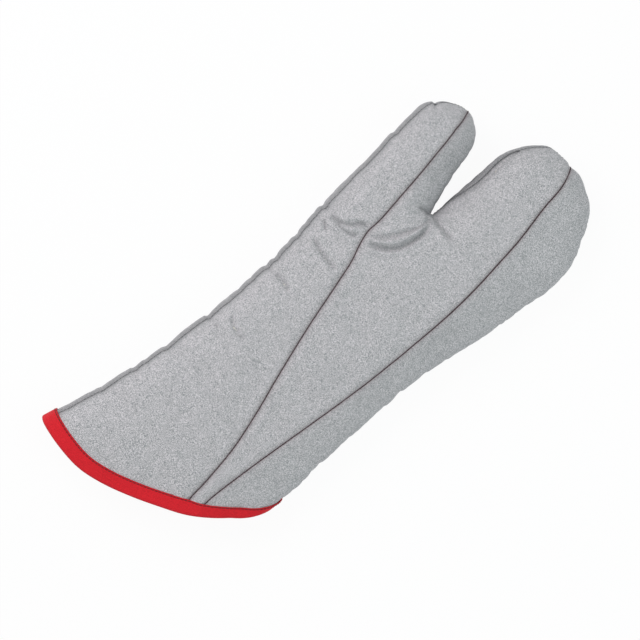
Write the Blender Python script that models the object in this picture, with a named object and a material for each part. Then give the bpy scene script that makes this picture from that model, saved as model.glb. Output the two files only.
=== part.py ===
"""Aluminized oven glove: a long-sleeved mitt of sewn cloth layers, lying palm up.

The glove lies along Y with its fingers towards +Y and its thumb towards -X. One outline in plan,
written from the crotch between thumb and hand, carries every layer: the heights of the front and
the back follow from how far a point lies inside that outline, and each layer is an offset of them.
"""
import math

import bpy
import numpy as np

MM = 0.001

# Sizes of the outline, from the crotch between thumb and hand
SLEEVE_LENGTH = 348 * MM
HAND_LENGTH = 113 * MM
THUMB_LENGTH = 73 * MM
PALM_WIDTH = 172 * MM
CUFF_WIDTH = 168 * MM
HAND_WIDTH = 104 * MM
THUMB_WIDTH = 72 * MM

# Rise of the front and fall of the back from the level of the glove's edge
FRONT_CROWN = 34 * MM
BACK_CROWN = 17 * MM
FRONT_ROUNDING = 24 * MM
BACK_ROUNDING = 17 * MM

# Layers, from the outside in
SHELL_THICKNESS = 0.8 * MM
WADDING_THICKNESS = 4.5 * MM
LINING_THICKNESS = 0.7 * MM
LAYER_GAP = 0.3 * MM
SEAM_GAP = 0.3 * MM
NO_DISTANCE = 0.0005 * MM

# Seams: how far the perimeter seam has rolled from the edge, and how deep the front seams pull in
SEAM_ROLL = 3.2 * MM
ROLL_BAND = 15 * MM
CROTCH_EASE = 25 * MM
SEAM_SINK = 1.1 * MM
EDGE_STEP = 3.5 * MM
THREAD_DIAMETER = 0.9 * MM

# Binding folded over the cuff's edge
BINDING_WIDTH = 14.5 * MM
BINDING_THICKNESS = 0.9 * MM
BINDING_SLACK = 0.9 * MM
BINDING_ROUND = 0.5 * MM
BINDING_STITCH_INSET = 3 * MM
BINDING_PROUD = BINDING_THICKNESS + THREAD_DIAMETER + 4 * LAYER_GAP

# Folds that the cloth takes where the thumb turns off the palm
WEB_ROLL_HEIGHT = 3.5 * MM
WEB_ROLL_WIDTH = 9 * MM
THUMB_FOLD_DEPTH = 3 * MM
THUMB_FOLD_WIDTH = 9 * MM

# Edges of the sleeve, as shares of its length below the crotch and of its width there
left_edge_shares = [
    (0.992, -0.345), (0.86, -0.307), (0.72, -0.277), (0.58, -0.273), (0.44, -0.280),
    (0.30, -0.303), (0.18, -0.343), (0.08, -0.375),
]
right_edge_shares = [
    (0.06, 0.594), (0.16, 0.583), (0.28, 0.575), (0.42, 0.585), (0.54, 0.609),
    (0.64, 0.632), (0.715, 0.652),
]

# Outlines of the thumb and the hand, as shares of each one's width and length
thumb_shares = [
    (-0.965, 0.00), (-1.00, 0.20), (-1.028, 0.50), (-1.014, 0.70), (-0.93, 0.855),
    (-0.80, 0.955), (-0.66, 1.00), (-0.52, 0.975), (-0.41, 0.90), (-0.33, 0.785),
    (-0.265, 0.64), (-0.205, 0.48), (-0.15, 0.30), (-0.108, 0.15), (-0.085, 0.045),
]
hand_shares = [
    (0.002, 0.03), (0.0, 0.12), (-0.018, 0.30), (-0.036, 0.50), (-0.036, 0.67),
    (0.000, 0.79), (0.065, 0.885), (0.155, 0.955), (0.26, 0.992), (0.36, 0.985),
    (0.46, 1.00), (0.57, 0.985), (0.68, 0.935), (0.78, 0.855), (0.86, 0.74),
    (0.93, 0.62), (0.98, 0.49), (1.005, 0.32), (1.003, 0.12), (0.995, 0.00),
]
crotch_share = (-0.042, -0.012)
thumb_corner_index = (4, 6, 8)
hand_corner_index = (6, 9, 13)

# Edge of the cuff from left to right, as shares of the cuff's width and the sleeve's length, and
# the shares of that edge at which the two front seams start
cuff_shares = [
    (-0.345, 0.992), (-0.23, 0.998), (-0.07, 0.994), (0.05, 0.974),
    (0.18, 0.942), (0.31, 0.903), (0.42, 0.866), (0.54, 0.810), (0.61, 0.766),
    (0.652, 0.715),
]
thumb_seam_start_share = 0.665
hand_seam_start_share = 0.705

# Front seams below the crotch, as shares of the sleeve's width and length, and above it, as shares
# of the thumb's or the hand's width and length
thumb_seam_sleeve_shares = [
    (0.384, 0.84), (0.345, 0.765), (0.300, 0.680), (0.232, 0.590), (0.155, 0.500),
    (0.055, 0.375), (-0.012, 0.265), (-0.060, 0.205), (-0.105, 0.165), (-0.122, 0.127),
    (-0.130, 0.095), (-0.150, 0.045), (-0.172, 0.00),
]
thumb_seam_tip_shares = [
    (-0.412, 0.00), (-0.46, 0.22), (-0.51, 0.45), (-0.572, 0.70), (-0.66, 1.00),
]
hand_seam_sleeve_shares = [
    (0.434, 0.800), (0.430, 0.670), (0.436, 0.560), (0.442, 0.450), (0.441, 0.355),
    (0.435, 0.270), (0.430, 0.200), (0.423, 0.130), (0.410, 0.060), (0.392, 0.00),
]
hand_seam_tip_shares = [
    (0.648, 0.00), (0.61, 0.18), (0.56, 0.38), (0.48, 0.67), (0.425, 0.86), (0.36, 0.985),
]

# Share of the front's rise at shares of the sleeve's length below the crotch
crown_stations_share = [
    (-0.33, 1.0), (0.0, 0.97), (0.1, 0.95), (0.35, 0.82), (0.6, 0.74), (0.85, 0.68), (1.0, 0.62),
]
flat_share = 0.985
squeeze_share = 0.4
squeezed_stretch_share = 0.14

# Folds from one end to the other, as shares of the palm's width and the thumb's length
web_roll_shares = ((-0.10, -0.10), (0.10, -0.02))
thumb_fold_shares = ((-0.30, -0.62), (-0.10, -0.42))

THUMB_SIDE_COLUMNS = 8
PALM_LEFT_COLUMNS = 4
PALM_RIGHT_COLUMNS = 4
OUTER_SIDE_COLUMNS = 6
SLEEVE_ROWS = 13
THUMB_ROWS = 7
HAND_ROWS = 9
CURVE_STEPS = 6
WELD_DIGITS = 7

ALUMINIZED_COLOR = (0.45, 0.46, 0.46)
WADDING_COLOR = (0.62, 0.60, 0.55)
LINING_COLOR = (0.70, 0.68, 0.62)
BINDING_COLOR = (0.62, 0.02, 0.03)
THREAD_COLOR = (0.40, 0.02, 0.03)
SHARP_ANGLE = 50
BINDING_FOLD_ANGLE = 50
binding_legs_down_index = (0, 7)
binding_legs_up_index = (5, 9)

FRONT = 1
BACK = -1
QUARTER_TURN = math.pi / 2


def sleeve_width(depth_share):
    """Width that the sleeve's shares refer to, at a share of its length below the crotch."""
    return PALM_WIDTH + (CUFF_WIDTH - PALM_WIDTH) * depth_share


def lobe_points(shares, width, length):
    """Plan points of a thumb or hand outline."""
    return [(x_share * width, y_share * length) for x_share, y_share in shares]


def smooth_curve(points):
    """Centripetal Catmull-Rom curve through the points, as a dense polyline."""
    pts = np.array(points, dtype=float)
    pts = np.vstack([2 * pts[0] - pts[1], pts, 2 * pts[-1] - pts[-2]])
    curve = []
    for p0, p1, p2, p3 in zip(pts, pts[1:], pts[2:], pts[3:]):
        t1 = math.sqrt(np.linalg.norm(p1 - p0))
        t2 = t1 + math.sqrt(np.linalg.norm(p2 - p1))
        t3 = t2 + math.sqrt(np.linalg.norm(p3 - p2))
        for t in np.linspace(t1, t2, CURVE_STEPS, endpoint=False):
            a1 = (t1 - t) / t1 * p0 + t / t1 * p1
            a2 = (t2 - t) / (t2 - t1) * p1 + (t - t1) / (t2 - t1) * p2
            a3 = (t3 - t) / (t3 - t2) * p2 + (t - t2) / (t3 - t2) * p3
            b1 = (t2 - t) / t2 * a1 + t / t2 * a2
            b2 = (t3 - t) / (t3 - t1) * a2 + (t - t1) / (t3 - t1) * a3
            curve.append((t2 - t) / (t2 - t1) * b1 + (t - t1) / (t2 - t1) * b2)
    curve.append(pts[-2])
    return np.array(curve)


def along(curve, shares):
    """Points of a polyline at shares of its length."""
    lengths = np.concatenate([[0.0], np.cumsum(np.linalg.norm(np.diff(curve, axis=0), axis=1))])
    wanted = np.asarray(shares) * lengths[-1]
    return np.stack([np.interp(wanted, lengths, curve[:, axis]) for axis in (0, 1)], axis=-1)


def onward(before, end):
    """A point a sleeve's length further on, along the line that leads to the end."""
    return end + (end - before) / np.linalg.norm(end - before) * SLEEVE_LENGTH


def stretch(curve, start_share, end_share):
    """The part of a polyline between two shares of its length."""
    return along(curve, np.linspace(start_share, end_share, len(curve)))


class Pattern:
    """The glove in plan: its outline, cuff edge and front seams, cut where the grids meet."""

    def __init__(self):
        left = [(x * sleeve_width(y), -y * SLEEVE_LENGTH) for y, x in left_edge_shares]
        right = [(x * sleeve_width(y), -y * SLEEVE_LENGTH) for y, x in right_edge_shares]
        thumb = lobe_points(thumb_shares, THUMB_WIDTH, THUMB_LENGTH)
        hand = lobe_points(hand_shares, HAND_WIDTH, HAND_LENGTH)
        crotch = (crotch_share[0] * THUMB_WIDTH, crotch_share[1] * THUMB_LENGTH)
        curve = smooth_curve(left + thumb + [crotch] + hand + right)
        thumb_start = len(left)
        hand_start = thumb_start + len(thumb) + 1
        keys = [0, thumb_start, *(thumb_start + corner for corner in thumb_corner_index),
                hand_start - 1, *(hand_start + corner for corner in hand_corner_index),
                hand_start + len(hand) - 1,
                hand_start + len(hand) + len(right) - 1]
        cuts = [key * CURVE_STEPS for key in keys]
        edges = [curve[start:end + 1] for start, end in zip(cuts, cuts[1:])]
        (self.left_edge, self.thumb_left, self.thumb_tip_left, self.thumb_tip_right, thumb_right,
         self.hand_left, self.hand_tip_left, self.hand_tip_right, hand_right, right_edge) = edges
        self.thumb_right = thumb_right[::-1]
        self.hand_right = hand_right[::-1]
        self.right_edge = right_edge[::-1]
        self.outline = np.vstack([onward(curve[1], curve[0]), curve, onward(curve[-2], curve[-1])])
        self.cut_cuff()
        self.lay_seams(crotch)

    def cut_cuff(self):
        """Cut the cuff's edge where the front seams and the middle line start."""
        points = [(x * CUFF_WIDTH, -y * SLEEVE_LENGTH) for x, y in cuff_shares]
        points[0] = tuple(self.left_edge[0])
        points[-1] = tuple(self.right_edge[0])
        cuff = smooth_curve(points)
        middle_share = (thumb_seam_start_share + hand_seam_start_share) / 2
        self.cuff_thumb_side = stretch(cuff, 0, thumb_seam_start_share)
        self.cuff_palm_left = stretch(cuff, thumb_seam_start_share, middle_share)
        self.cuff_palm_right = stretch(cuff, middle_share, hand_seam_start_share)
        self.cuff_outer_side = stretch(cuff, hand_seam_start_share, 1)

    def lay_seams(self, crotch):
        """Draw the two front seams and the middle line that ends at the crotch."""
        lower = [(x * sleeve_width(y), -y * SLEEVE_LENGTH) for x, y in thumb_seam_sleeve_shares]
        upper = lobe_points(thumb_seam_tip_shares, THUMB_WIDTH, THUMB_LENGTH)
        upper[-1] = tuple(self.thumb_tip_left[-1])
        seam = smooth_curve([tuple(self.cuff_palm_left[0])] + lower + upper[1:])
        level = len(lower) * CURVE_STEPS
        self.thumb_seam = seam[:level + 1]
        self.thumb_seam_tip = seam[level:]
        lower = [(x * sleeve_width(y), -y * SLEEVE_LENGTH) for x, y in hand_seam_sleeve_shares]
        upper = lobe_points(hand_seam_tip_shares, HAND_WIDTH, HAND_LENGTH)
        upper[-1] = tuple(self.hand_tip_left[-1])
        seam = smooth_curve([tuple(self.cuff_palm_right[-1])] + lower + upper[1:])
        level = len(lower) * CURVE_STEPS
        self.hand_seam = seam[:level + 1]
        self.hand_seam_tip = seam[level:]
        thirds = [(along(self.thumb_seam, share) + along(self.hand_seam, share)) / 2
                  for share in (1 / 3, 2 / 3)]
        self.middle = smooth_curve([self.cuff_palm_left[-1], *thirds, crotch])


def crowded(widths, count, edge, easing=1):
    """Column shares, row by row, that crowd towards the "left" or "right" edge of a patch.

    Next to that edge the columns start about one edge step apart, and then spread out evenly.
    """
    even = np.linspace(0, 1, count + 1)[None, :]
    crowding = np.clip((1 - count * EDGE_STEP / widths) * count / (count - 1), 0, 1)[:, None] * easing
    if edge == "left":
        return (1 - crowding) * even + crowding * even ** 2
    return 1 - ((1 - crowding) * even + crowding * even ** 2)[:, ::-1]


def tip_rows(count):
    """Row shares of the thumb or the hand, which crowd at the crotch and at the tip."""
    return (1 - np.cos(2 * QUARTER_TURN * np.linspace(0, 1, count + 1))) / 2


def sleeve_rows():
    """Row shares of the sleeve: the first row is as deep as the binding."""
    first = BINDING_WIDTH / SLEEVE_LENGTH
    return np.concatenate([[0.0], np.linspace(first, 1, SLEEVE_ROWS)])


def patch(left, right, bottom, top, rows, count, edge, easing=1):
    """Grid of plan points between four edges, blended from all of them."""
    starts, ends = along(left, rows), along(right, rows)
    across = crowded(np.linalg.norm(ends - starts, axis=1), count, edge, easing)
    a = across[..., None]
    b = rows[:, None, None]
    sides = (1 - a) * starts[:, None] + a * ends[:, None]
    caps = (1 - b) * along(bottom, across) + b * along(top, across)
    corners = ((1 - a) * (1 - b) * left[0] + a * (1 - b) * right[0]
               + (1 - a) * b * left[-1] + a * b * right[-1])
    return sides + caps - corners


class Cloth:
    """The outer surface of the glove: welded plan grids raised to the front and the back."""

    def __init__(self, pattern):
        self.pattern = pattern
        self.plan = []
        self.depth_shares = []
        self.lookup = {}
        self.triangles = {}
        self.lay_grids()
        self.plan = np.array(self.plan)
        self.depth_shares = np.array(self.depth_shares)
        self.on_edge = self.edge_distance(self.plan)[0] < NO_DISTANCE
        self.raise_surface()

    def vertex(self, point, row_share):
        """Index of the welded plan point."""
        key = (round(float(point[0]), WELD_DIGITS), round(float(point[1]), WELD_DIGITS))
        if key not in self.lookup:
            self.lookup[key] = len(self.plan)
            self.plan.append(point)
            self.depth_shares.append(row_share)
        return self.lookup[key]

    def add_patch(self, panel, grid, rows, falling=False):
        """Weld a grid in and note its triangles for the panel; return its vertex indices.

        The diagonals rise to the right, or fall to it where a corner of the grid at its upper left
        or lower right lies in a straight stretch of the outline.
        """
        index = np.array([[self.vertex(point, share) for point in line]
                          for line, share in zip(grid, rows)])
        for i in range(index.shape[0] - 1):
            for j in range(index.shape[1] - 1):
                a, b, c, d = index[i, j], index[i, j + 1], index[i + 1, j + 1], index[i + 1, j]
                pair = [(a, b, d), (b, c, d)] if falling else [(a, b, c), (a, c, d)]
                self.triangles.setdefault(panel, []).extend(pair)
        return index

    def lay_grids(self):
        """Lay the grids of the three front panels over the sleeve, the thumb and the hand."""
        p = self.pattern
        levels = [line[-1] for line in (p.left_edge, p.thumb_seam, p.middle, p.hand_seam, p.right_edge)]
        tops = [np.array([start, end]) for start, end in zip(levels, levels[1:])]
        rows = sleeve_rows()
        late = rows[:, None] ** 3
        sleeve = [
            self.add_patch("thumb_side", patch(p.left_edge, p.thumb_seam, p.cuff_thumb_side, tops[0],
                                               rows, THUMB_SIDE_COLUMNS, "left"), rows),
            self.add_patch("palm", patch(p.thumb_seam, p.middle, p.cuff_palm_left, tops[1],
                                         rows, PALM_LEFT_COLUMNS, "right", late), rows),
            self.add_patch("palm", patch(p.middle, p.hand_seam, p.cuff_palm_right, tops[2],
                                         rows, PALM_RIGHT_COLUMNS, "left", late), rows),
            self.add_patch("outer_side", patch(p.hand_seam, p.right_edge, p.cuff_outer_side, tops[3],
                                               rows, OUTER_SIDE_COLUMNS, "right"), rows, falling=True),
        ]
        rows = tip_rows(THUMB_ROWS)
        level = np.ones(THUMB_ROWS + 1)
        thumb = [
            self.add_patch("thumb_side", patch(p.thumb_left, p.thumb_seam_tip, tops[0], p.thumb_tip_left,
                                               rows, THUMB_SIDE_COLUMNS, "left"), level, falling=True),
            self.add_patch("palm", patch(p.thumb_seam_tip, p.thumb_right, tops[1], p.thumb_tip_right,
                                         rows, PALM_LEFT_COLUMNS, "right"), level),
        ]
        rows = tip_rows(HAND_ROWS)
        level = np.ones(HAND_ROWS + 1)
        hand = [
            self.add_patch("palm", patch(p.hand_left, p.hand_seam_tip, tops[2], p.hand_tip_left,
                                         rows, PALM_RIGHT_COLUMNS, "left"), level, falling=True),
            self.add_patch("outer_side", patch(p.hand_seam_tip, p.hand_right, tops[3], p.hand_tip_right,
                                               rows, OUTER_SIDE_COLUMNS, "right"), level),
        ]
        self.cuff_row = np.concatenate([sleeve[0][0], *(grid[0][1:] for grid in sleeve[1:])])
        self.binding_row = np.concatenate([sleeve[0][1], *(grid[1][1:] for grid in sleeve[1:])])
        self.thumb_seam_line = np.concatenate([sleeve[0][:, -1], thumb[0][1:, -1]])
        self.hand_seam_line = np.concatenate([sleeve[3][:, 0], hand[1][1:, 0]])
        self.perimeter_line = np.concatenate([
            sleeve[0][:, 0], thumb[0][1:, 0], thumb[0][-1, 1:], thumb[1][-1, 1:], thumb[1][-2::-1, -1],
            hand[0][1:, 0], hand[0][-1, 1:], hand[1][-1, 1:], hand[1][-2::-1, -1], sleeve[3][-2::-1, -1],
        ])

    def edge_distance(self, points):
        """Distance of plan points to the outline, and the inward direction at its nearest point."""
        start = self.pattern.outline[:-1]
        run = np.diff(self.pattern.outline, axis=0)
        length = np.linalg.norm(run, axis=1)
        unit = run / length[:, None]
        rel = points[:, None, :] - start[None]
        reach = np.clip((rel * unit).sum(-1), 0, length)
        gap = rel - reach[..., None] * unit
        nearest = np.linalg.norm(gap, axis=2).argmin(axis=1)
        gap = gap[np.arange(len(points)), nearest]
        distance = np.linalg.norm(gap, axis=1)
        across = np.stack([unit[:, 1], -unit[:, 0]], axis=1)
        corner = (across + np.roll(across, 1, axis=0))[nearest]
        corner /= np.maximum(np.linalg.norm(corner, axis=1), NO_DISTANCE)[:, None]
        far = (distance > NO_DISTANCE)[:, None]
        inward = np.where(far, gap / np.maximum(distance, NO_DISTANCE)[:, None], corner)
        return distance, inward

    def softness(self, points):
        """Soft distance to the outline: the distance near an edge, less where edges lie close."""
        start = self.pattern.outline[:-1]
        run = np.diff(self.pattern.outline, axis=0)
        length = np.linalg.norm(run, axis=1)
        unit = run / length[:, None]
        rel = points[:, None, :] - start[None]
        near = (rel * unit).sum(-1)
        off = np.abs(rel[..., 0] * unit[:, 1] - rel[..., 1] * unit[:, 0])
        off = np.maximum(off, NO_DISTANCE)
        far = near - length
        pull = (near / np.hypot(off, near) - far / np.hypot(off, far)) / off ** 2
        return np.sqrt(2 / pull.sum(axis=1))

    def folds(self, points):
        """Height of the folds near the thumb's root above the plain crown."""
        height = np.zeros(len(points))
        folds = ((web_roll_shares, WEB_ROLL_HEIGHT, WEB_ROLL_WIDTH),
                 (thumb_fold_shares, -THUMB_FOLD_DEPTH, THUMB_FOLD_WIDTH))
        for (start, end), rise, width in folds:
            a = np.array(start) * (PALM_WIDTH, THUMB_LENGTH)
            b = np.array(end) * (PALM_WIDTH, THUMB_LENGTH)
            share = np.clip((points - a) @ (b - a) / ((b - a) @ (b - a)), 0, 1)
            off = np.linalg.norm(points - a - share[:, None] * (b - a), axis=1)
            height += rise * np.exp(-(off / width) ** 2)
        return height

    def height(self, points, sides, row_shares):
        """Height of plan points on the front or the back, from the level of the glove's edge."""
        soft = self.softness(points)
        stations, rises = np.array(crown_stations_share).T
        rise = FRONT_CROWN * np.interp(-points[:, 1] / SLEEVE_LENGTH, stations, rises)
        near_edge = 1 - np.exp(-soft / ROLL_BAND)
        front = rise * np.sqrt(1 - np.exp(-2 * soft / FRONT_ROUNDING)) + self.folds(points) * near_edge
        back = -BACK_CROWN * np.sqrt(1 - np.exp(-2 * soft / BACK_ROUNDING))
        settled = np.clip((squeezed_stretch_share - row_shares) / (squeezed_stretch_share / 2), 0, 1)
        floor = -flat_share * BACK_CROWN + settled * BINDING_PROUD
        return np.where(sides > 0, front, np.maximum(back, floor))

    def rolled(self, points, sides):
        """Slide points round the glove's edge, so that the perimeter seam turns to the right."""
        distance, inward = self.edge_distance(points)
        near = np.minimum(distance, ROLL_BAND) / ROLL_BAND
        turn = sides * np.arccos(1 - near)
        from_crotch = np.linalg.norm(points - self.pattern.middle[-1], axis=1)
        eased = 1 - np.exp(-(from_crotch / CROTCH_EASE) ** 2)
        roll = math.acos(1 - SEAM_ROLL / ROLL_BAND) * inward[:, 0] * eased
        turned = turn + roll * (1 - np.abs(turn) / QUARTER_TURN)
        move = np.where(distance < ROLL_BAND, ROLL_BAND * (1 - np.cos(turned)) - distance, 0)
        new_sides = np.where(distance < ROLL_BAND, np.sign(turned), sides)
        return points + move[:, None] * inward, new_sides

    def raise_surface(self):
        """Make the 3D points of the front and the back, which share the points of the edge."""
        count = len(self.plan)
        self.back_index = np.arange(count)
        inner = np.flatnonzero(~self.on_edge)
        self.back_index[inner] = count + np.arange(len(inner))
        points = np.vstack([self.plan, self.plan[inner]])
        shares = np.concatenate([self.depth_shares, self.depth_shares[inner]])
        sides = np.concatenate([np.where(self.on_edge, 0, FRONT), np.full(len(inner), BACK)]).astype(float)
        points, sides = self.rolled(points, sides)
        heights = self.height(points, sides, shares)
        seam_points = np.concatenate([self.thumb_seam_line[2:], self.hand_seam_line[2:]])
        heights[seam_points[~self.on_edge[seam_points]]] -= SEAM_SINK
        self.points = np.column_stack([points, heights])
        self.shares = shares
        front = sum(self.triangles.values(), [])
        self.triangles["back"] = [tuple(self.back_index[list(reversed(face))]) for face in front]
        everything = np.array(front + self.triangles["back"])
        self.normals = vertex_normals(self.points, everything)


def vertex_normals(points, triangles):
    """Unit normals averaged over the triangles round each point."""
    a, b, c = (points[triangles[:, i]] for i in range(3))
    face = np.cross(b - a, c - a)
    normals = np.zeros_like(points)
    for corner in range(3):
        np.add.at(normals, triangles[:, corner], face)
    return normals / np.linalg.norm(normals, axis=1)[:, None]


class Layers:
    """Depths of the cloth layers below the outer surface, squeezed together under the binding."""

    def __init__(self, cloth):
        eased = np.clip(cloth.shares / squeezed_stretch_share, 0, 1)
        squeeze = squeeze_share + (1 - squeeze_share) * eased
        zero = np.zeros(len(cloth.points))
        self.shell = (zero, zero + SHELL_THICKNESS)
        wadding_top = self.shell[1] + LAYER_GAP
        self.wadding = (wadding_top, wadding_top + WADDING_THICKNESS * squeeze)
        lining_top = self.wadding[1] + LAYER_GAP
        self.lining = (lining_top, lining_top + LINING_THICKNESS)
        self.total = self.lining[1]


def outer_edges(triangles):
    """Directed edges that only one triangle has."""
    edges = {(t[i], t[(i + 1) % 3]) for t in triangles for i in range(3)}
    return [(a, b) for a, b in edges if (b, a) not in edges]


def seam_inset(cloth, triangles, cuff_points):
    """Shift of each point that draws a panel back from its seams by half the seam gap."""
    shift = np.zeros_like(cloth.points)
    for a, b in outer_edges(triangles):
        if a in cuff_points and b in cuff_points:
            continue
        run = cloth.points[b] - cloth.points[a]
        for end in (a, b):
            inward = np.cross(cloth.normals[end], run)
            shift[end] += inward / np.linalg.norm(inward)
    size = np.linalg.norm(shift, axis=1)
    moved = size > 0
    shift[moved] *= (SEAM_GAP / 2 / size[moved])[:, None]
    return shift


def make_mesh(name, points, faces, material, collection):
    """Add a mesh object with its own material."""
    mesh = bpy.data.meshes.new(name)
    mesh.from_pydata([tuple(point) for point in points], [], [tuple(map(int, face)) for face in faces])
    mesh.materials.append(material)
    mesh.shade_smooth()
    mesh.set_sharp_from_angle(angle=math.radians(SHARP_ANGLE))
    obj = bpy.data.objects.new(name, mesh)
    collection.objects.link(obj)
    return obj


def make_layer(name, cloth, panels, depths, material, collection):
    """Make a cloth panel or a sheet of wadding between two depths below the outer surface."""
    triangles = sorted(sum((cloth.triangles[panel] for panel in panels), []))
    cuff_points = set(cloth.cuff_row) | set(cloth.back_index[cloth.cuff_row])
    used = sorted({int(i) for triangle in triangles for i in triangle})
    place = {old: new for new, old in enumerate(used)}
    base = (cloth.points + seam_inset(cloth, triangles, cuff_points))[used]
    normals = cloth.normals[used]
    outer = base - normals * depths[0][used][:, None]
    inner = base - normals * depths[1][used][:, None]
    faces = [tuple(place[i] for i in triangle) for triangle in triangles]
    count = len(used)
    faces += [tuple(place[i] + count for i in reversed(triangle)) for triangle in triangles]
    for a, b in sorted(outer_edges(triangles)):
        a, b = place[a], place[b]
        faces.append((b, a, a + count, b + count))
    return make_mesh(name, np.vstack([outer, inner]), faces, material, collection)


def make_binding(cloth, layers, material, collection):
    """Make the bias binding: a U section carried round the cuff, over both faces of its edge."""
    edge = cuff_loop(cloth, cloth.cuff_row)
    inner_edge = cuff_loop(cloth, cloth.binding_row)
    near, far = LAYER_GAP, LAYER_GAP + BINDING_THICKNESS
    points = []
    for low, high, before, after in zip(edge, inner_edge, np.roll(edge, 1), np.roll(edge, -1)):
        base, base_normal, depth = cloth.points[low], cloth.normals[low], layers.total[low]
        top, top_normal, top_depth = cloth.points[high], cloth.normals[high], layers.total[high]
        out = np.cross(cloth.points[after] - cloth.points[before], base_normal)
        out = out / np.linalg.norm(out)
        middle = base - base_normal * depth / 2
        half = depth / 2 + far
        points += [top + top_normal * far, base + base_normal * far]
        for turn in (-1, 0, 1):
            angle = math.radians(BINDING_FOLD_ANGLE) * turn
            bulge = BINDING_SLACK + BINDING_THICKNESS + BINDING_ROUND * math.cos(angle)
            points.append(middle - base_normal * half * math.sin(angle) + out * bulge)
        points += [base - base_normal * (depth + far), top - top_normal * (top_depth + far)]
        slack = out * BINDING_SLACK
        points += [top - top_normal * (top_depth + near), base - base_normal * (depth + near) + slack,
                   base + base_normal * near + slack, top + top_normal * near]
    ring = len(edge)
    section = len(points) // ring
    faces = []
    for i in range(ring):
        k = (i + 1) % ring
        column = i if i < ring // 2 else ring - 1 - i
        rising = (column < ring // 2 - OUTER_SIDE_COLUMNS) == (i < ring // 2)
        for j in range(section):
            m = (j + 1) % section
            quad = [i * section + j, i * section + m, k * section + m, k * section + j]
            turned = binding_legs_down_index if rising else binding_legs_up_index
            if j in turned:
                quad = quad[1:] + quad[:1]
            faces += [tuple(quad[:3]), (quad[0], quad[2], quad[3])]
    return make_mesh("cuff_binding", points, faces, material, collection)


def cuff_loop(cloth, row):
    """A row of the front, then the same row of the back, as one loop round the sleeve."""
    return list(row) + list(cloth.back_index[row[-2:0:-1]])


def make_thread(name, points, cyclic, material, collection):
    """Make a thread as a fine tube along its points."""
    curve = bpy.data.curves.new(name, "CURVE")
    curve.dimensions = "3D"
    curve.bevel_depth = THREAD_DIAMETER / 2
    curve.bevel_resolution = 1
    curve.use_fill_caps = True
    spline = curve.splines.new("POLY")
    spline.points.add(len(points) - 1)
    for spline_point, point in zip(spline.points, points):
        spline_point.co = (*point, 1)
    spline.use_cyclic_u = cyclic
    curve.materials.append(material)
    obj = bpy.data.objects.new(name, curve)
    collection.objects.link(obj)
    return obj


def seam_path(cloth, line, clear_start, clear_end):
    """Path of a thread in a seam, drawn back from what it meets at either end."""
    lift = LAYER_GAP + THREAD_DIAMETER / 2
    path = [cloth.points[i] + cloth.normals[i] * lift for i in line]
    for end, beside, clear in ((0, 1, clear_start), (-1, -2, clear_end)):
        run = path[beside] - path[end]
        path[end] = path[end] + run / np.linalg.norm(run) * clear
    return path


def binding_stitch_path(cloth):
    """Path of the stitching that holds the binding, a little outside its inner edge."""
    proud = LAYER_GAP + BINDING_THICKNESS
    share = BINDING_STITCH_INSET / BINDING_WIDTH
    low, high = cuff_loop(cloth, cloth.cuff_row), cuff_loop(cloth, cloth.binding_row)
    top = cloth.points[high] + cloth.normals[high] * proud
    base = cloth.points[low] + cloth.normals[low] * proud
    path = top * (1 - share) + base * share
    normal = np.cross(base - top, np.roll(path, -1, axis=0) - np.roll(path, 1, axis=0))
    lift = 2 * LAYER_GAP + THREAD_DIAMETER / 2
    return path + normal / np.linalg.norm(normal, axis=1)[:, None] * lift


def make_material(name, color, roughness, metallic=0.0):
    """A plain finish for one piece."""
    material = bpy.data.materials.new(name)
    material.use_nodes = True
    shader = material.node_tree.nodes["Principled BSDF"]
    shader.inputs["Base Color"].default_value = (*color, 1)
    shader.inputs["Roughness"].default_value = roughness
    shader.inputs["Metallic"].default_value = metallic
    return material


def clear_scene():
    """Remove what the start file holds."""
    for obj in list(bpy.data.objects):
        bpy.data.objects.remove(obj, do_unlink=True)


def settle(objects, collection):
    """Hang every piece on one empty, which puts the glove on the floor with its middle at zero."""
    bpy.context.view_layer.update()
    graph = bpy.context.evaluated_depsgraph_get()
    corners = []
    for obj in objects:
        mesh = bpy.data.meshes.new_from_object(obj.evaluated_get(graph))
        corners += [vertex.co.copy() for vertex in mesh.vertices]
        bpy.data.meshes.remove(mesh)
    low = [min(corner[axis] for corner in corners) for axis in range(3)]
    high = [max(corner[axis] for corner in corners) for axis in range(3)]
    origin = bpy.data.objects.new("glove_origin", None)
    collection.objects.link(origin)
    origin.location = (-(low[0] + high[0]) / 2, -(low[1] + high[1]) / 2, -low[2])
    for obj in objects:
        obj.parent = origin


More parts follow.
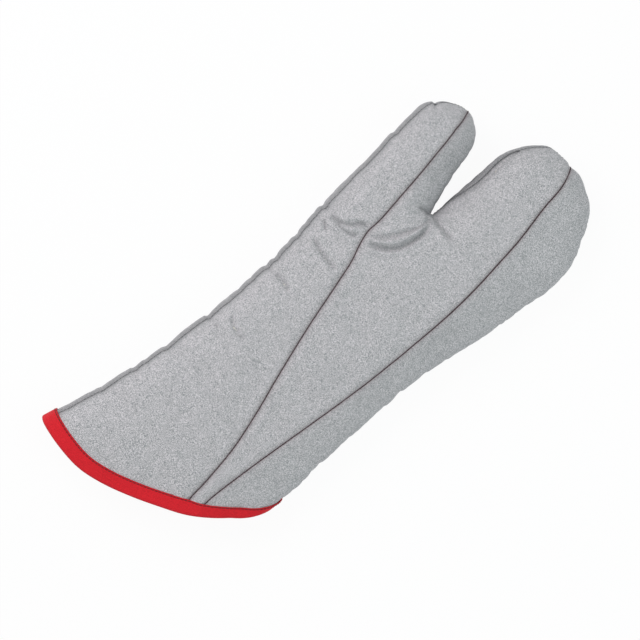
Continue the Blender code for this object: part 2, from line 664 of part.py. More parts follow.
def build_glove():
    """Build every piece of the glove."""
    clear_scene()
    collection = bpy.data.collections.new("oven_glove")
    bpy.context.scene.collection.children.link(collection)
    cloth = Cloth(Pattern())
    layers = Layers(cloth)
    front = ["thumb_side", "palm", "outer_side"]
    objects = []
    for name, panels in (("shell_back", ["back"]), ("shell_thumb_side", ["thumb_side"]),
                         ("shell_palm", ["palm"]), ("shell_outer_side", ["outer_side"])):
        finish = make_material(name, ALUMINIZED_COLOR, 0.6, 0.35)
        objects.append(make_layer(name, cloth, panels, layers.shell, finish, collection))
    for side, panels in (("front", front), ("back", ["back"])):
        felt = make_material("wadding_" + side, WADDING_COLOR, 0.95)
        objects.append(make_layer("wadding_" + side, cloth, panels, layers.wadding, felt, collection))
        cotton = make_material("lining_" + side, LINING_COLOR, 0.85)
        objects.append(make_layer("lining_" + side, cloth, panels, layers.lining, cotton, collection))
    tape = make_material("cuff_binding", BINDING_COLOR, 0.7)
    objects.append(make_binding(cloth, layers, tape, collection))
    clear = 2 * LAYER_GAP
    crossing = clear + THREAD_DIAMETER
    threads = (
        ("thumb_seam_thread", seam_path(cloth, cloth.thumb_seam_line[1:], clear, crossing), False),
        ("hand_seam_thread", seam_path(cloth, cloth.hand_seam_line[1:], clear, crossing), False),
        ("perimeter_seam_thread", seam_path(cloth, cloth.perimeter_line[1:-1], clear, clear), False),
        ("binding_stitching", binding_stitch_path(cloth), True),
    )
    for name, path, cyclic in threads:
        sewing = make_material(name, THREAD_COLOR, 0.55)
        objects.append(make_thread(name, path, cyclic, sewing, collection))
    settle(objects, collection)


build_glove()
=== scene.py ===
"""Looks of an aluminized oven glove: cloth panels, padding, lining, bound cuff and stitches."""

import logging
import math
from collections.abc import Callable, Iterable, Sequence
from dataclasses import dataclass, field
from enum import Enum

import bpy
import numpy as np
from mathutils.kdtree import KDTree
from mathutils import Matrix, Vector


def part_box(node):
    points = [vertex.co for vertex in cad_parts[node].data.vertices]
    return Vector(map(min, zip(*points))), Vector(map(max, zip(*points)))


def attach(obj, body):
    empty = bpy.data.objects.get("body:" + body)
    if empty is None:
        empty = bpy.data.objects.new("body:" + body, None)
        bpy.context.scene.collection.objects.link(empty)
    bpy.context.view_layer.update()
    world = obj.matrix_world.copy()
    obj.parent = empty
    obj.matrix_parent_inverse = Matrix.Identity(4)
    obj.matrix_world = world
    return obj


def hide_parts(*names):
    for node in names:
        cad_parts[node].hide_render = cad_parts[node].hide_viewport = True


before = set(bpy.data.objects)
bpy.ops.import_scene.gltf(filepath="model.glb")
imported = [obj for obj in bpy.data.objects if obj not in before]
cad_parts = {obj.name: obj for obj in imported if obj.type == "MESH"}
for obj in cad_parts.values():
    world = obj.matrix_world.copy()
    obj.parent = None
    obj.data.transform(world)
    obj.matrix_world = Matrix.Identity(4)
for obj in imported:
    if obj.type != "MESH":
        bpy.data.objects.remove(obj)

LOG = logging.getLogger("oven_glove")
MM = 0.001
TINY = 0.0005 * MM
LEAST_NORMAL = 1e-12
WELD_DIGITS = 7
BLOCK = 3000
QUARTER_TURN = math.pi / 2
DEFAULT_YARNS = 1600.0
FLOAT = "NodeSocketFloat"

Array = np.ndarray
Plan = tuple[float, float]
Pair = tuple[float, float]
Triple = tuple[float, float, float]


class Panel(Enum):
    """Cut pieces of the glove's cloth."""

    THUMB_SIDE = "thumb_side"
    PALM = "palm"
    OUTER_SIDE = "outer_side"
    BACK = "back"


FRONT_PANELS = (Panel.THUMB_SIDE, Panel.PALM, Panel.OUTER_SIDE)


@dataclass(frozen=True)
class GloveSizes:
    """Sizes that the glove's pattern is drawn from, in metres, and the shares that follow them."""

    place: Plan = (-18.85 * MM, 115.21 * MM)
    sleeve_length: float = 348 * MM
    hand_length: float = 113 * MM
    thumb_length: float = 73 * MM
    palm_width: float = 172 * MM
    cuff_width: float = 168 * MM
    hand_width: float = 104 * MM
    thumb_width: float = 72 * MM
    front_crown: float = 34 * MM
    back_crown: float = 17 * MM
    front_rounding: float = 24 * MM
    back_rounding: float = 17 * MM
    seam_roll: float = 3.2 * MM
    roll_band: float = 15 * MM
    crotch_ease: float = 25 * MM
    binding_width: float = 12 * MM
    binding_proud: float = 3.0 * MM
    facet_edge: float = 11 * MM
    facet_rounding: float = 4 * MM
    facet_start: float = 0.35
    tip_turn: float = 0.25
    flat_share: float = 0.985
    squeezed_share: float = 0.14
    left_edge: tuple[Plan, ...] = (
        (0.9810, -0.3570), (0.8600, -0.3160), (0.7200, -0.2845), (0.5800, -0.2735),
        (0.4400, -0.2790), (0.3001, -0.3054), (0.1804, -0.3506), (0.0800, -0.3795),
    )
    right_edge: tuple[Plan, ...] = (
        (0.0601, 0.6033), (0.1600, 0.5836), (0.2800, 0.5756), (0.4199, 0.5963), (0.5400, 0.6155),
        (0.6220, 0.6380), (0.6830, 0.6400),
    )
    thumb: tuple[Plan, ...] = (
        (-0.9496, 0.0007), (-0.9960, 0.2000), (-1.0229, 0.5000), (-1.0381, 0.7040),
        (-0.9491, 0.8721), (-0.8155, 0.9827), (-0.6636, 1.0478), (-0.5094, 1.0095),
        (-0.3848, 0.9263), (-0.2992, 0.7996), (-0.2465, 0.6477), (-0.2010, 0.4850),
        (-0.1240, 0.3050), (-0.0570, 0.1650), (-0.0270, 0.0900),
    )
    hand: tuple[Plan, ...] = (
        (-0.0005, 0.0580), (-0.0085, 0.1230), (-0.0175, 0.3000), (-0.0340, 0.5000),
        (-0.0432, 0.6707), (-0.0007, 0.7913), (0.0555, 0.8922), (0.1357, 0.9830), (0.2573, 1.0124),
        (0.3583, 1.0231), (0.4617, 1.0242), (0.5717, 0.9907), (0.6920, 0.9501), (0.7884, 0.8630),
        (0.8712, 0.7460), (0.9497, 0.6282), (0.9938, 0.4927), (1.0113, 0.3201), (1.0015, 0.1200),
        (1.0015, 0.0000),
    )
    crotch: Plan = (-0.005, 0.045)
    thumb_corners: tuple[int, ...] = (4, 6, 8)
    hand_corners: tuple[int, ...] = (6, 9, 13)
    cuff: tuple[Plan, ...] = (
        (-0.3570, 0.9810), (-0.2300, 0.9860), (-0.0700, 0.9810), (0.0500, 0.9610), (0.1800, 0.9280),
        (0.3100, 0.8880), (0.4200, 0.8500), (0.5250, 0.7970), (0.5880, 0.7520), (0.6400, 0.6830),
    )
    thumb_seam_start: float = 0.665
    hand_seam_start: float = 0.705
    thumb_seam_sleeve: tuple[Plan, ...] = (
        (0.3840, 0.8400), (0.3507, 0.7643), (0.3090, 0.6786), (0.2430, 0.5879), (0.1670, 0.4976),
        (0.0683, 0.3727), (-0.0076, 0.2643), (-0.0525, 0.2034), (-0.0885, 0.1684),
        (-0.1150, 0.1336), (-0.1231, 0.0945), (-0.1432, 0.0443), (-0.1618, -0.0012),
    )
    thumb_seam_tip: tuple[Plan, ...] = (
        (-0.4120, 0.0000), (-0.4329, 0.2258), (-0.4883, 0.4549), (-0.5479, 0.7064),
        (-0.6600, 1.0000),
    )
    hand_seam_sleeve: tuple[Plan, ...] = (
        (0.4340, 0.8000), (0.4300, 0.6700), (0.4348, 0.5600), (0.4408, 0.4500), (0.4422, 0.3550),
        (0.4385, 0.2699), (0.4323, 0.2000), (0.4230, 0.1300), (0.4088, 0.0601), (0.3909, 0.0001),
    )
    hand_seam_tip: tuple[Plan, ...] = (
        (0.6480, 0.0000), (0.6100, 0.1800), (0.5675, 0.3817), (0.4837, 0.6709), (0.4377, 0.8641),
        (0.3600, 0.9850),
    )
    crown_stations: tuple[Plan, ...] = (
        (-0.33, 1.0), (0.0, 0.97), (0.1, 0.95), (0.35, 0.82), (0.6, 0.74), (0.85, 0.68),
        (1.0, 0.62),
    )


@dataclass(frozen=True)
class GridSizes:
    """How many rows and columns of points the cloth is made of, and how they crowd together."""

    thumb_side: int = 54
    palm_left: int = 28
    palm_right: int = 32
    outer_side: int = 30
    sleeve_rows: int = 224
    binding_rows: int = 8
    thumb_rows: int = 50
    hand_rows: int = 66
    curve_steps: int = 10
    even_lobe_rows: float = 0.25
    sleeve_crowding: float = 1.75
    middle_crowding: int = 3


@dataclass(frozen=True)
class Fold:
    """A sunken fold or a roll that the cloth keeps, along a path in millimetres from the crotch; a
    sunken one also gets painted shade.
    """

    path: tuple[Plan, ...]
    rise: float
    width: float
    lip: float = 0.35
    # Strength of the painted shade along a sunken fold.
    dark: float = 0.7


@dataclass(frozen=True)
class Pucker:
    """A tight notch that the perimeter seam pulls into the glove's edge."""

    place: Plan
    depth: float
    width: float = 1.6


@dataclass(frozen=True)
class Wave:
    """A slow change along the glove's edge: its rise, its length in millimetres and its phase."""

    rise: float
    length: float
    phase: float = 0.0

    def at(self, place: Array) -> Array:
        """Find the wave's value at lengths along the edge."""
        return self.rise * np.sin(place / (self.length * MM) + self.phase)


@dataclass(frozen=True)
class ClothRelief:
    """Everything that stands off the plain form of the padded cloth.

    Attributes:
        seam_sink: Depth of a front seam's groove, which is seam_groove wide.
        seam_pillow: Height of the pillow beside it, at pillow_place from the seam.
        seam_ease: Distance from the edge over which both fade.
        edge_sink: Depth of the perimeter seam, which is edge_groove wide.
        edge_ease: Share of the sleeve over which the edge's relief fades towards the cuff.
        scallop_warps: Slow waves that shift the scallops by warp_turns radians each.
        pucker_tail: How much longer a notch fades on one side.
        swell_lengths: Shortest and longest wave of the padding, in millimetres.
        swell_lean: Phase between the waves of the front and those of the back.
        fold_fade: Share of its length over which a fold's end fades, and the fading's power.
        fold_lip: Place and width of the lip beside a fold, in widths of the fold.
        fold_dark: Width of the painted shade line in a sunken fold, in widths of the fold.
    """

    seam_sink: float = 1.3 * MM
    seam_groove: float = 1.1 * MM
    seam_pillow: float = 0.5 * MM
    seam_ease: float = 4 * MM
    pillow_place: float = 6 * MM
    pillow_width: float = 4 * MM
    edge_sink: float = 0.9 * MM
    edge_groove: float = 0.9 * MM
    edge_ease: float = 0.05
    scallop: float = 0.7 * MM
    scallop_pitch: float = 13 * MM
    scallop_reach: float = 7 * MM
    scallop_sharpness: float = 2.2
    scallop_warps: tuple[Wave, ...] = (Wave(0.35, 31), Wave(0.25, 17, 1.3))
    warp_turns: float = 3
    scallop_strength: float = 0.55
    strength_wave: Wave = Wave(0.45, 43, 0.7)
    pucker_tail: float = 3.0
    pucker_reach: float = 8 * MM
    swell: float = 0.55 * MM
    swell_seed: int = 7
    swell_waves: int = 14
    swell_lengths: Pair = (18, 70)
    swell_phase: float = 6.3
    swell_lean: float = 0.8
    swell_sum: float = 2.4
    swell_back: float = 0.35
    swell_ease: float = 0.08
    fold_window: float = 0.07
    fold_steps: int = 8
    fold_fade: Pair = (0.14, 0.7)
    fold_lip: Pair = (2.3, 1.3)
    fold_dark: float = 0.5
    folds: tuple[Fold, ...] = (
        Fold(((-14.5, -53.3), (-8.1, -50.2), (0.7, -42.8), (4.9, -35.9), (7.7, -23.0), (7.2, -10.5),
              (3.6, -0.7)),
             rise=-2.6, width=1.9, lip=0.5, dark=0.8),
        Fold(((5.3, -42.0), (10.3, -34.0), (12.3, -23.0), (10.8, -10.0)),
             rise=-1.0, width=5.0, lip=0.0, dark=0.0),
        Fold(((-12.7, -48.0), (-3.2, -39.0), (2.5, -26.0), (4.5, -12.0), (2.7, -2.0)),
             rise=1.8, width=3.2, lip=0.0),
        Fold(((-15.9, -47.2), (-7.0, -36.9), (-2.2, -25.4), (1.9, -13.5), (2.3, 0.3)),
             rise=-1.8, width=1.6, lip=0.3, dark=0.7),
        Fold(((1.5, 2.6), (8.3, 2.0), (18.5, 1.8), (27.0, 2.2)),
             rise=-1.7, width=2.2, lip=0.4, dark=0.7),
        Fold(((-10.5, -2.0), (-5.7, 0.3), (-0.7, 1.6)),
             rise=-1.5, width=1.8, lip=0.3, dark=0.95),
        Fold(((-51.5, -62.3), (-40.3, -60.3), (-32.7, -54.5), (-28.5, -47.6), (-22.1, -43.5)),
             rise=-2.0, width=1.9, lip=0.4, dark=1.0),
        Fold(((-41.8, -62.2), (-32.4, -61.0), (-24.4, -57.8), (-21.1, -55.4)),
             rise=-1.8, width=1.8, lip=0.4, dark=1.00),
        Fold(((-43.8, -83.8), (-35.7, -85.8), (-23.8, -86.5), (-10.2, -85.3)),
             rise=-1.7, width=1.8, lip=0.4, dark=0.95),
        Fold(((-51.8, -69.1), (-47.2, -71.1), (-41.5, -72.9)),
             rise=-1.8, width=1.8, lip=0.4, dark=0.85),
        Fold(((-41.9, -126.0), (-29.5, -124.4), (-20.3, -126.0)),
             rise=-1.7, width=1.9, lip=0.4, dark=0.90),
        Fold(((-34.0, -172.4), (-25.4, -176.9), (-10.4, -177.5)),
             rise=-1.5, width=1.9, lip=0.4, dark=0.85),
        Fold(((-38.8, -187.3), (-32.4, -188.7)),
             rise=-1.3, width=1.8, lip=0.4, dark=0.8),
    )
    puckers: tuple[Pucker, ...] = (
        Pucker((-49.1, -291.2), 1.2), Pucker((-44.6, -260.5), 1.5), Pucker((-45.0, -249.0), 1.0),
        Pucker((-44.6, -230.2), 1.5), Pucker((-44.2, -188.2), 2.0), Pucker((-49.2, -126.9), 1.7),
        Pucker((-48.6, -118.2), 1.4), Pucker((-51.4, -94.1), 1.2), Pucker((-58.0, -61.9), 1.7),
        Pucker((-70.4, 19.1), 1.4), Pucker((-69.4, 58.8), 1.8, 1.2), Pucker((103.2, -7.8), 1.0),
        Pucker((100.4, -59.1), 1.0), Pucker((98.9, -78.0), 0.9), Pucker((98.9, -103.1), 1.2),
        Pucker((99.5, -120.8), 0.9), Pucker((102.7, -157.4), 1.0), Pucker((104.6, -189.2), 1.0),
        Pucker((36.4, 112.8), 0.9, 2.0),
    )


def smooth_curve(points: Sequence[Plan], steps: int) -> Array:
    """Run a centripetal Catmull-Rom curve through the points.

    Args:
        points: Plan points to pass through.
        steps: Points made for each stretch.

    Returns:
        The dense polyline.
    """
    pts = np.array(points, dtype=float)
    pts = np.vstack([2 * pts[0] - pts[1], pts, 2 * pts[-1] - pts[-2]])
    curve = []
    for p0, p1, p2, p3 in zip(pts, pts[1:], pts[2:], pts[3:]):
        t1 = math.sqrt(np.linalg.norm(p1 - p0))
        t2 = t1 + math.sqrt(np.linalg.norm(p2 - p1))
        t3 = t2 + math.sqrt(np.linalg.norm(p3 - p2))
        for t in np.linspace(t1, t2, steps, endpoint=False):
            a1 = (t1 - t) / t1 * p0 + t / t1 * p1
            a2 = (t2 - t) / (t2 - t1) * p1 + (t - t1) / (t2 - t1) * p2
            a3 = (t3 - t) / (t3 - t2) * p2 + (t - t2) / (t3 - t2) * p3
            b1 = (t2 - t) / t2 * a1 + t / t2 * a2
            b2 = (t3 - t) / (t3 - t1) * a2 + (t - t1) / (t3 - t1) * a3
            curve.append((t2 - t) / (t2 - t1) * b1 + (t - t1) / (t2 - t1) * b2)
    curve.append(pts[-2])
    return np.array(curve)


def in_blocks(points: Array) -> list[Array]:
    """Split points into blocks that are small enough to be measured at once."""
    return np.array_split(points, max(1, len(points) // BLOCK))


def along(curve: Array, shares: Array | float) -> Array:
    """Find the points of a polyline at shares of its length.

    Args:
        curve: The polyline.
        shares: Shares of its length, from 0 to 1.

    Returns:
        One point for each share.
    """
    lengths = np.concatenate([[0.0], np.cumsum(np.linalg.norm(np.diff(curve, axis=0), axis=1))])
    wanted = np.asarray(shares) * lengths[-1]
    found = [np.interp(wanted, lengths, curve[:, axis]) for axis in range(curve.shape[1])]
    return np.stack(found, axis=-1)


def segments(line: Array) -> tuple[Array, Array, Array]:
    """Split a polyline into its segments.

    Args:
        line: The polyline.

    Returns:
        Start, unit direction and length of each segment.
    """
    run = np.diff(line, axis=0)
    length = np.maximum(np.linalg.norm(run, axis=1), TINY)
    return line[:-1], run / length[:, None], length


def nearest_places(points: Array, line: Array) -> tuple[Array, Array, Array]:
    """Find the place of a polyline that lies nearest to each point.

    Args:
        points: Plan points.
        line: The polyline.

    Returns:
        The vector from that place to each point, the number of its segment and how far along the
        segment it lies.
    """
    start, unit, length = segments(line)
    gaps, numbers, reaches = [], [], []
    for block in in_blocks(points):
        rel = block[:, None, :] - start[None]
        reach = np.clip((rel * unit).sum(-1), 0, length)
        gap = rel - reach[..., None] * unit
        nearest = np.linalg.norm(gap, axis=2).argmin(axis=1)
        rows = np.arange(len(block))
        gaps.append(gap[rows, nearest])
        numbers.append(nearest)
        reaches.append(reach[rows, nearest])
    return np.concatenate(gaps), np.concatenate(numbers), np.concatenate(reaches)


def near_line(points: Array, line: Array) -> tuple[Array, Array]:
    """Measure from plan points to a polyline.

    Args:
        points: Plan points.
        line: The polyline.

    Returns:
        Each point's distance, and the length along the line of its nearest place.
    """
    before = np.concatenate([[0.0], np.cumsum(segments(line)[2])[:-1]])
    gap, number, reach = nearest_places(points, line)
    return np.linalg.norm(gap, axis=1), before[number] + reach


def search_tree(points: Iterable[Sequence[float]], count: int) -> KDTree:
    """Make a search tree of points in space.

    Args:
        points: The points.
        count: How many there are.

    Returns:
        The balanced tree.
    """
    tree = KDTree(count)
    for number, point in enumerate(points):
        tree.insert(point, number)
    tree.balance()
    return tree


def link_object(name: str, data: bpy.types.ID) -> bpy.types.Object:
    """Make an object and link it to the scene.

    Args:
        name: Name of the object.
        data: Its mesh, light or camera.

    Returns:
        The object.
    """
    obj = bpy.data.objects.new(name, data)
    bpy.context.scene.collection.objects.link(obj)
    return obj


def vertex_normals(points: Array, triangles: Array) -> Array:
    """Average the normals of the triangles round each point.

    Args:
        points: Points in space.
        triangles: Point indices, three a row.

    Returns:
        One unit normal for each point.
    """
    a, b, c = (points[triangles[:, k]] for k in range(3))
    face = np.cross(b - a, c - a)
    normals = np.zeros_like(points)
    for corner in range(3):
        np.add.at(normals, triangles[:, corner], face)
    return normals / np.maximum(np.linalg.norm(normals, axis=1), LEAST_NORMAL)[:, None]


@dataclass
class GlovePattern:
    """The glove in plan: outline, cuff edge and front seams, cut where the grids meet."""

    sizes: GloveSizes
    steps: int
    lines: dict[str, Array] = field(default_factory=dict)
    outline: Array = field(default_factory=lambda: np.zeros((0, 2)))

    def __post_init__(self) -> None:
        """Draw every line of the pattern."""
        self.draw_outline()
        self.draw_cuff()
        self.draw_seams()

    def sleeve_points(self, shares: Iterable[Plan]) -> list[Plan]:
        """Place points given as shares of the sleeve's width and of its length below the crotch.

        Args:
            shares: Shares of the width and of the length.

        Returns:
            Plan points.
        """
        s = self.sizes
        return [(x * (s.palm_width + (s.cuff_width - s.palm_width) * y), -y * s.sleeve_length)
                for x, y in shares]

    def lobe_points(self, shares: Iterable[Plan], width: float, length: float) -> list[Plan]:
        """Place points given as shares of a thumb's or a hand's width and length."""
        return [(x * width, y * length) for x, y in shares]

    def draw_outline(self) -> None:
        """Draw the outline from the cuff round the thumb and the hand back to the cuff."""
        s = self.sizes
        left = self.sleeve_points((x, y) for y, x in s.left_edge)
        right = self.sleeve_points((x, y) for y, x in s.right_edge)
        thumb = self.lobe_points(s.thumb, s.thumb_width, s.thumb_length)
        hand = self.lobe_points(s.hand, s.hand_width, s.hand_length)
        crotch = (s.crotch[0] * s.thumb_width, s.crotch[1] * s.thumb_length)
        curve = smooth_curve(left + thumb + [crotch] + hand + right, self.steps)
        first, second = len(left), len(left) + len(thumb) + 1
        keys = [0, first, *(first + c for c in s.thumb_corners), second - 1,
                *(second + c for c in s.hand_corners), second + len(hand) - 1,
                second + len(hand) + len(right) - 1]
        cuts = [key * self.steps for key in keys]
        names = ("left_edge", "thumb_left", "thumb_tip_left", "thumb_tip_right", "thumb_right",
                 "hand_left", "hand_tip_left", "hand_tip_right", "hand_right", "right_edge")
        for name, start, end in zip(names, cuts, cuts[1:]):
            self.lines[name] = curve[start:end + 1]
        for name in ("thumb_right", "hand_right", "right_edge"):
            self.lines[name] = self.lines[name][::-1]
        self.lines["crotch"] = np.array([crotch])
        ends = [self.onward(curve[1], curve[0]), self.onward(curve[-2], curve[-1])]
        self.outline = np.vstack([ends[0], curve, ends[1]])

    def onward(self, before: Array, end: Array) -> Array:
        """Find a point a sleeve's length further on, along the line that leads to the end."""
        return end + (end - before) / np.linalg.norm(end - before) * self.sizes.sleeve_length

    def draw_cuff(self) -> None:
        """Cut the cuff's edge where the front seams and the middle line start."""
        s = self.sizes
        points = [(x * s.cuff_width, -y * s.sleeve_length) for x, y in s.cuff]
        points[0] = tuple(self.lines["left_edge"][0])
        points[-1] = tuple(self.lines["right_edge"][0])
        cuff = smooth_curve(points, self.steps)
        middle = (s.thumb_seam_start + s.hand_seam_start) / 2
        marks = (0, s.thumb_seam_start, middle, s.hand_seam_start, 1)
        names = ("cuff_thumb_side", "cuff_palm_left", "cuff_palm_right", "cuff_outer_side")
        for name, start, end in zip(names, marks, marks[1:]):
            self.lines[name] = along(cuff, np.linspace(start, end, len(cuff)))

    def draw_seams(self) -> None:
        """Draw the two front seams and the middle line that ends at the crotch."""
        s = self.sizes
        seams = (
            ("thumb_seam", self.lines["cuff_palm_left"][0], s.thumb_seam_sleeve, s.thumb_seam_tip,
             s.thumb_width, s.thumb_length, self.lines["thumb_tip_left"][-1]),
            ("hand_seam", self.lines["cuff_palm_right"][-1], s.hand_seam_sleeve, s.hand_seam_tip,
             s.hand_width, s.hand_length, self.lines["hand_tip_left"][-1]),
        )
        for name, start, lower_shares, upper_shares, width, length, end in seams:
            lower = self.sleeve_points(lower_shares)
            upper = self.lobe_points(upper_shares, width, length)
            upper[-1] = tuple(end)
            seam = smooth_curve([tuple(start)] + lower + upper[1:], self.steps)
            level = len(lower) * self.steps
            self.lines[name], self.lines[name + "_tip"] = seam[:level + 1], seam[level:]
            self.lines[name + "_whole"] = seam
        left, right = self.lines["thumb_seam"], self.lines["hand_seam"]
        thirds = [(along(left, share) + along(right, share)) / 2 for share in (1 / 3, 2 / 3)]
        ends = self.lines["cuff_palm_left"][-1], self.lines["crotch"][0]
        self.lines["middle"] = smooth_curve([ends[0], *thirds, ends[1]], self.steps * 2)


@dataclass
class ColumnSpacing:
    """Spreads grid lines: close together at an outline, where the cloth turns, and at a seam."""

    outline_weight: float = 1.8
    even_weight: float = 0.35
    seam_weight: float = 1.0
    seam_reach: float = 2.5
    samples: int = 241

    def shares(self, width: float, count: int, start: float, end: float, seam_start: float,
               seam_end: float) -> Array:
        """Spread grid lines over one width.

        Args:
            width: Width in metres.
            count: Number of cells.
            start: Share of the outline's crowding at the start.
            end: Share of the outline's crowding at the end.
            seam_start: Share of the seam's crowding at the start.
            seam_end: Share of the seam's crowding at the end.

        Returns:
            Shares of the width from 0 to 1.
        """
        x = np.linspace(0, 1, self.samples) ** 2 * 0.5
        x = np.concatenate([x, (1 - x[:-1])[::-1]]) * width / MM
        w = x[-1]
        work = self.even_weight * x
        work += 2 * self.outline_weight * (
            start * np.sqrt(x) + end * (math.sqrt(w) - np.sqrt(w - x)))
        reach = self.seam_reach
        work += self.seam_weight * reach * (seam_start * (1 - np.exp(-x / reach))
                                            + seam_end * np.exp(-(w - x) / reach))
        work -= work[0]
        return np.interp(np.linspace(0, 1, count + 1), work / work[-1], x / w)


@dataclass(frozen=True)
class ClothRun:
    """A short cloth simulation: the shell swells and wrinkles between its pinned seams.

    Attributes:
        cap: Largest movement that is kept, which slack softens.
        pin_reach: Distance from a seam over which the pins let go.
        neighbours: Points of the simulation that are read for each point of the cloth, weighted
            over read_reach of a voxel.
        bound_share: Share of the binding's width under which the cloth is held.
        rest_height: Height over the floor under which every rest_step-th point is held.
        cuff_ease: Share of the sleeve over which the movement grows, and where it starts.
    """

    voxel: float = 4 * MM
    frames: int = 20
    pressure: float = 4.0
    growth: float = 0.02
    cap: float = 1.6 * MM
    slack: float = 2.0
    pin_reach: float = 2.5 * MM
    least_pin: float = 0.02
    neighbours: int = 6
    read_reach: float = 0.8
    quality: int = 6
    mass: float = 0.2
    stretch: float = 30
    shear: float = 10
    bending: float = 0.4
    damping: float = 2.0
    bound_share: float = 1.2
    rest_height: float = 0.6 * MM
    rest_step: int = 3
    edge_ease: float = 3 * MM
    cuff_ease: Pair = (0.06, 0.6)

    def body(self, points: Array, triangles: Array) -> bpy.types.Object:
        """Make an evenly meshed copy of the shell, with its mouth closed, for the simulation.

        Args:
            points: Points of the shell.
            triangles: Its triangles.

        Returns:
            The linked copy.
        """
        mouth = np.array(outer_edges(triangles))
        centre = points[mouth[:, 0]].mean(axis=0)
        lid = np.column_stack([mouth[:, ::-1], np.full(len(mouth), len(points))])
        mesh = bpy.data.meshes.new("cloth_run")
        mesh.from_pydata(np.vstack([points, centre]).tolist(), [],
                         np.vstack([triangles, lid]).tolist())
        obj = link_object("cloth_run", mesh)
        remesh = obj.modifiers.new("even", "REMESH")
        remesh.mode = "VOXEL"
        remesh.voxel_size = self.voxel
        graph = bpy.context.evaluated_depsgraph_get()
        obj.data = bpy.data.meshes.new_from_object(obj.evaluated_get(graph))
        obj.modifiers.clear()
        bpy.data.meshes.remove(mesh)
        return obj

    def pin(self, obj: bpy.types.Object, held: Array) -> None:
        """Pin the copy where it lies next to a seam or under the binding.

        Args:
            obj: The copy.
            held: Points of the seams and the cuff.
        """
        tree = search_tree(held, len(held))
        group = obj.vertex_groups.new(name="pins")
        for vertex in obj.data.vertices:
            gap = tree.find(vertex.co)[2]
            weight = math.exp(-(max(0.0, gap - self.pin_reach) / self.pin_reach) ** 2)
            if weight > self.least_pin:
                group.add([vertex.index], weight, "REPLACE")

    def settle(self, obj: bpy.types.Object) -> Array:
        """Run the simulation frame by frame, with its pressure and without gravity.

        Args:
            obj: The pinned copy.

        Returns:
            One movement for each of its points.
        """
        modifier = obj.modifiers.new("cloth", "CLOTH")
        cloth = modifier.settings
        cloth.quality = self.quality
        cloth.mass = self.mass
        cloth.tension_stiffness = cloth.compression_stiffness = self.stretch
        cloth.shear_stiffness = self.shear
        cloth.bending_stiffness = self.bending
        cloth.air_damping = self.damping
        cloth.vertex_group_mass = "pins"
        cloth.shrink_min = -self.growth
        cloth.use_pressure = True
        cloth.uniform_pressure_force = self.pressure
        cloth.effector_weights.gravity = 0.0
        modifier.collision_settings.use_collision = False
        modifier.collision_settings.use_self_collision = False
        modifier.point_cache.frame_start = 1
        modifier.point_cache.frame_end = self.frames
        count = len(obj.data.vertices)
        rest = np.zeros(count * 3)
        obj.data.vertices.foreach_get("co", rest)
        scene = bpy.context.scene
        for frame_number in range(1, self.frames + 1):
            scene.frame_set(frame_number)
        graph = bpy.context.evaluated_depsgraph_get()
        moved = np.zeros(count * 3)
        obj.evaluated_get(graph).data.vertices.foreach_get("co", moved)
        scene.frame_set(1)
        return (moved - rest).reshape(-1, 3)

    def run(self, points: Array, normals: Array, triangles: Array, held: Array) -> Array:
        """Simulate the shell and return how far each of its points moves along its normal.

        Args:
            points: Points of the shell.
            normals: Their directions.
            triangles: Triangles of the shell.
            held: Points that the simulation holds still.

        Returns:
            One capped distance for each point.
        """
        obj = self.body(points, triangles)
        self.pin(obj, held)
        rest = [vertex.co.copy() for vertex in obj.data.vertices]
        move = self.settle(obj)
        data = obj.data
        bpy.data.objects.remove(obj)
        bpy.data.meshes.remove(data)
        tree = search_tree(rest, len(rest))
        result = np.zeros(len(points))
        for number, (point, normal) in enumerate(zip(points, normals)):
            near = tree.find_n(point, self.neighbours)
            index = [entry[1] for entry in near]
            gaps = np.array([entry[2] for entry in near])
            weights = np.exp(-(gaps / (self.read_reach * self.voxel)) ** 2) + TINY
            result[number] = (move[index] * weights[:, None]).sum(axis=0) @ normal / weights.sum()
        LOG.info("cloth run: %d points, moved up to %.2f mm", len(rest), abs(result).max() / MM)
        return self.cap * np.tanh(result / (self.slack * self.cap))


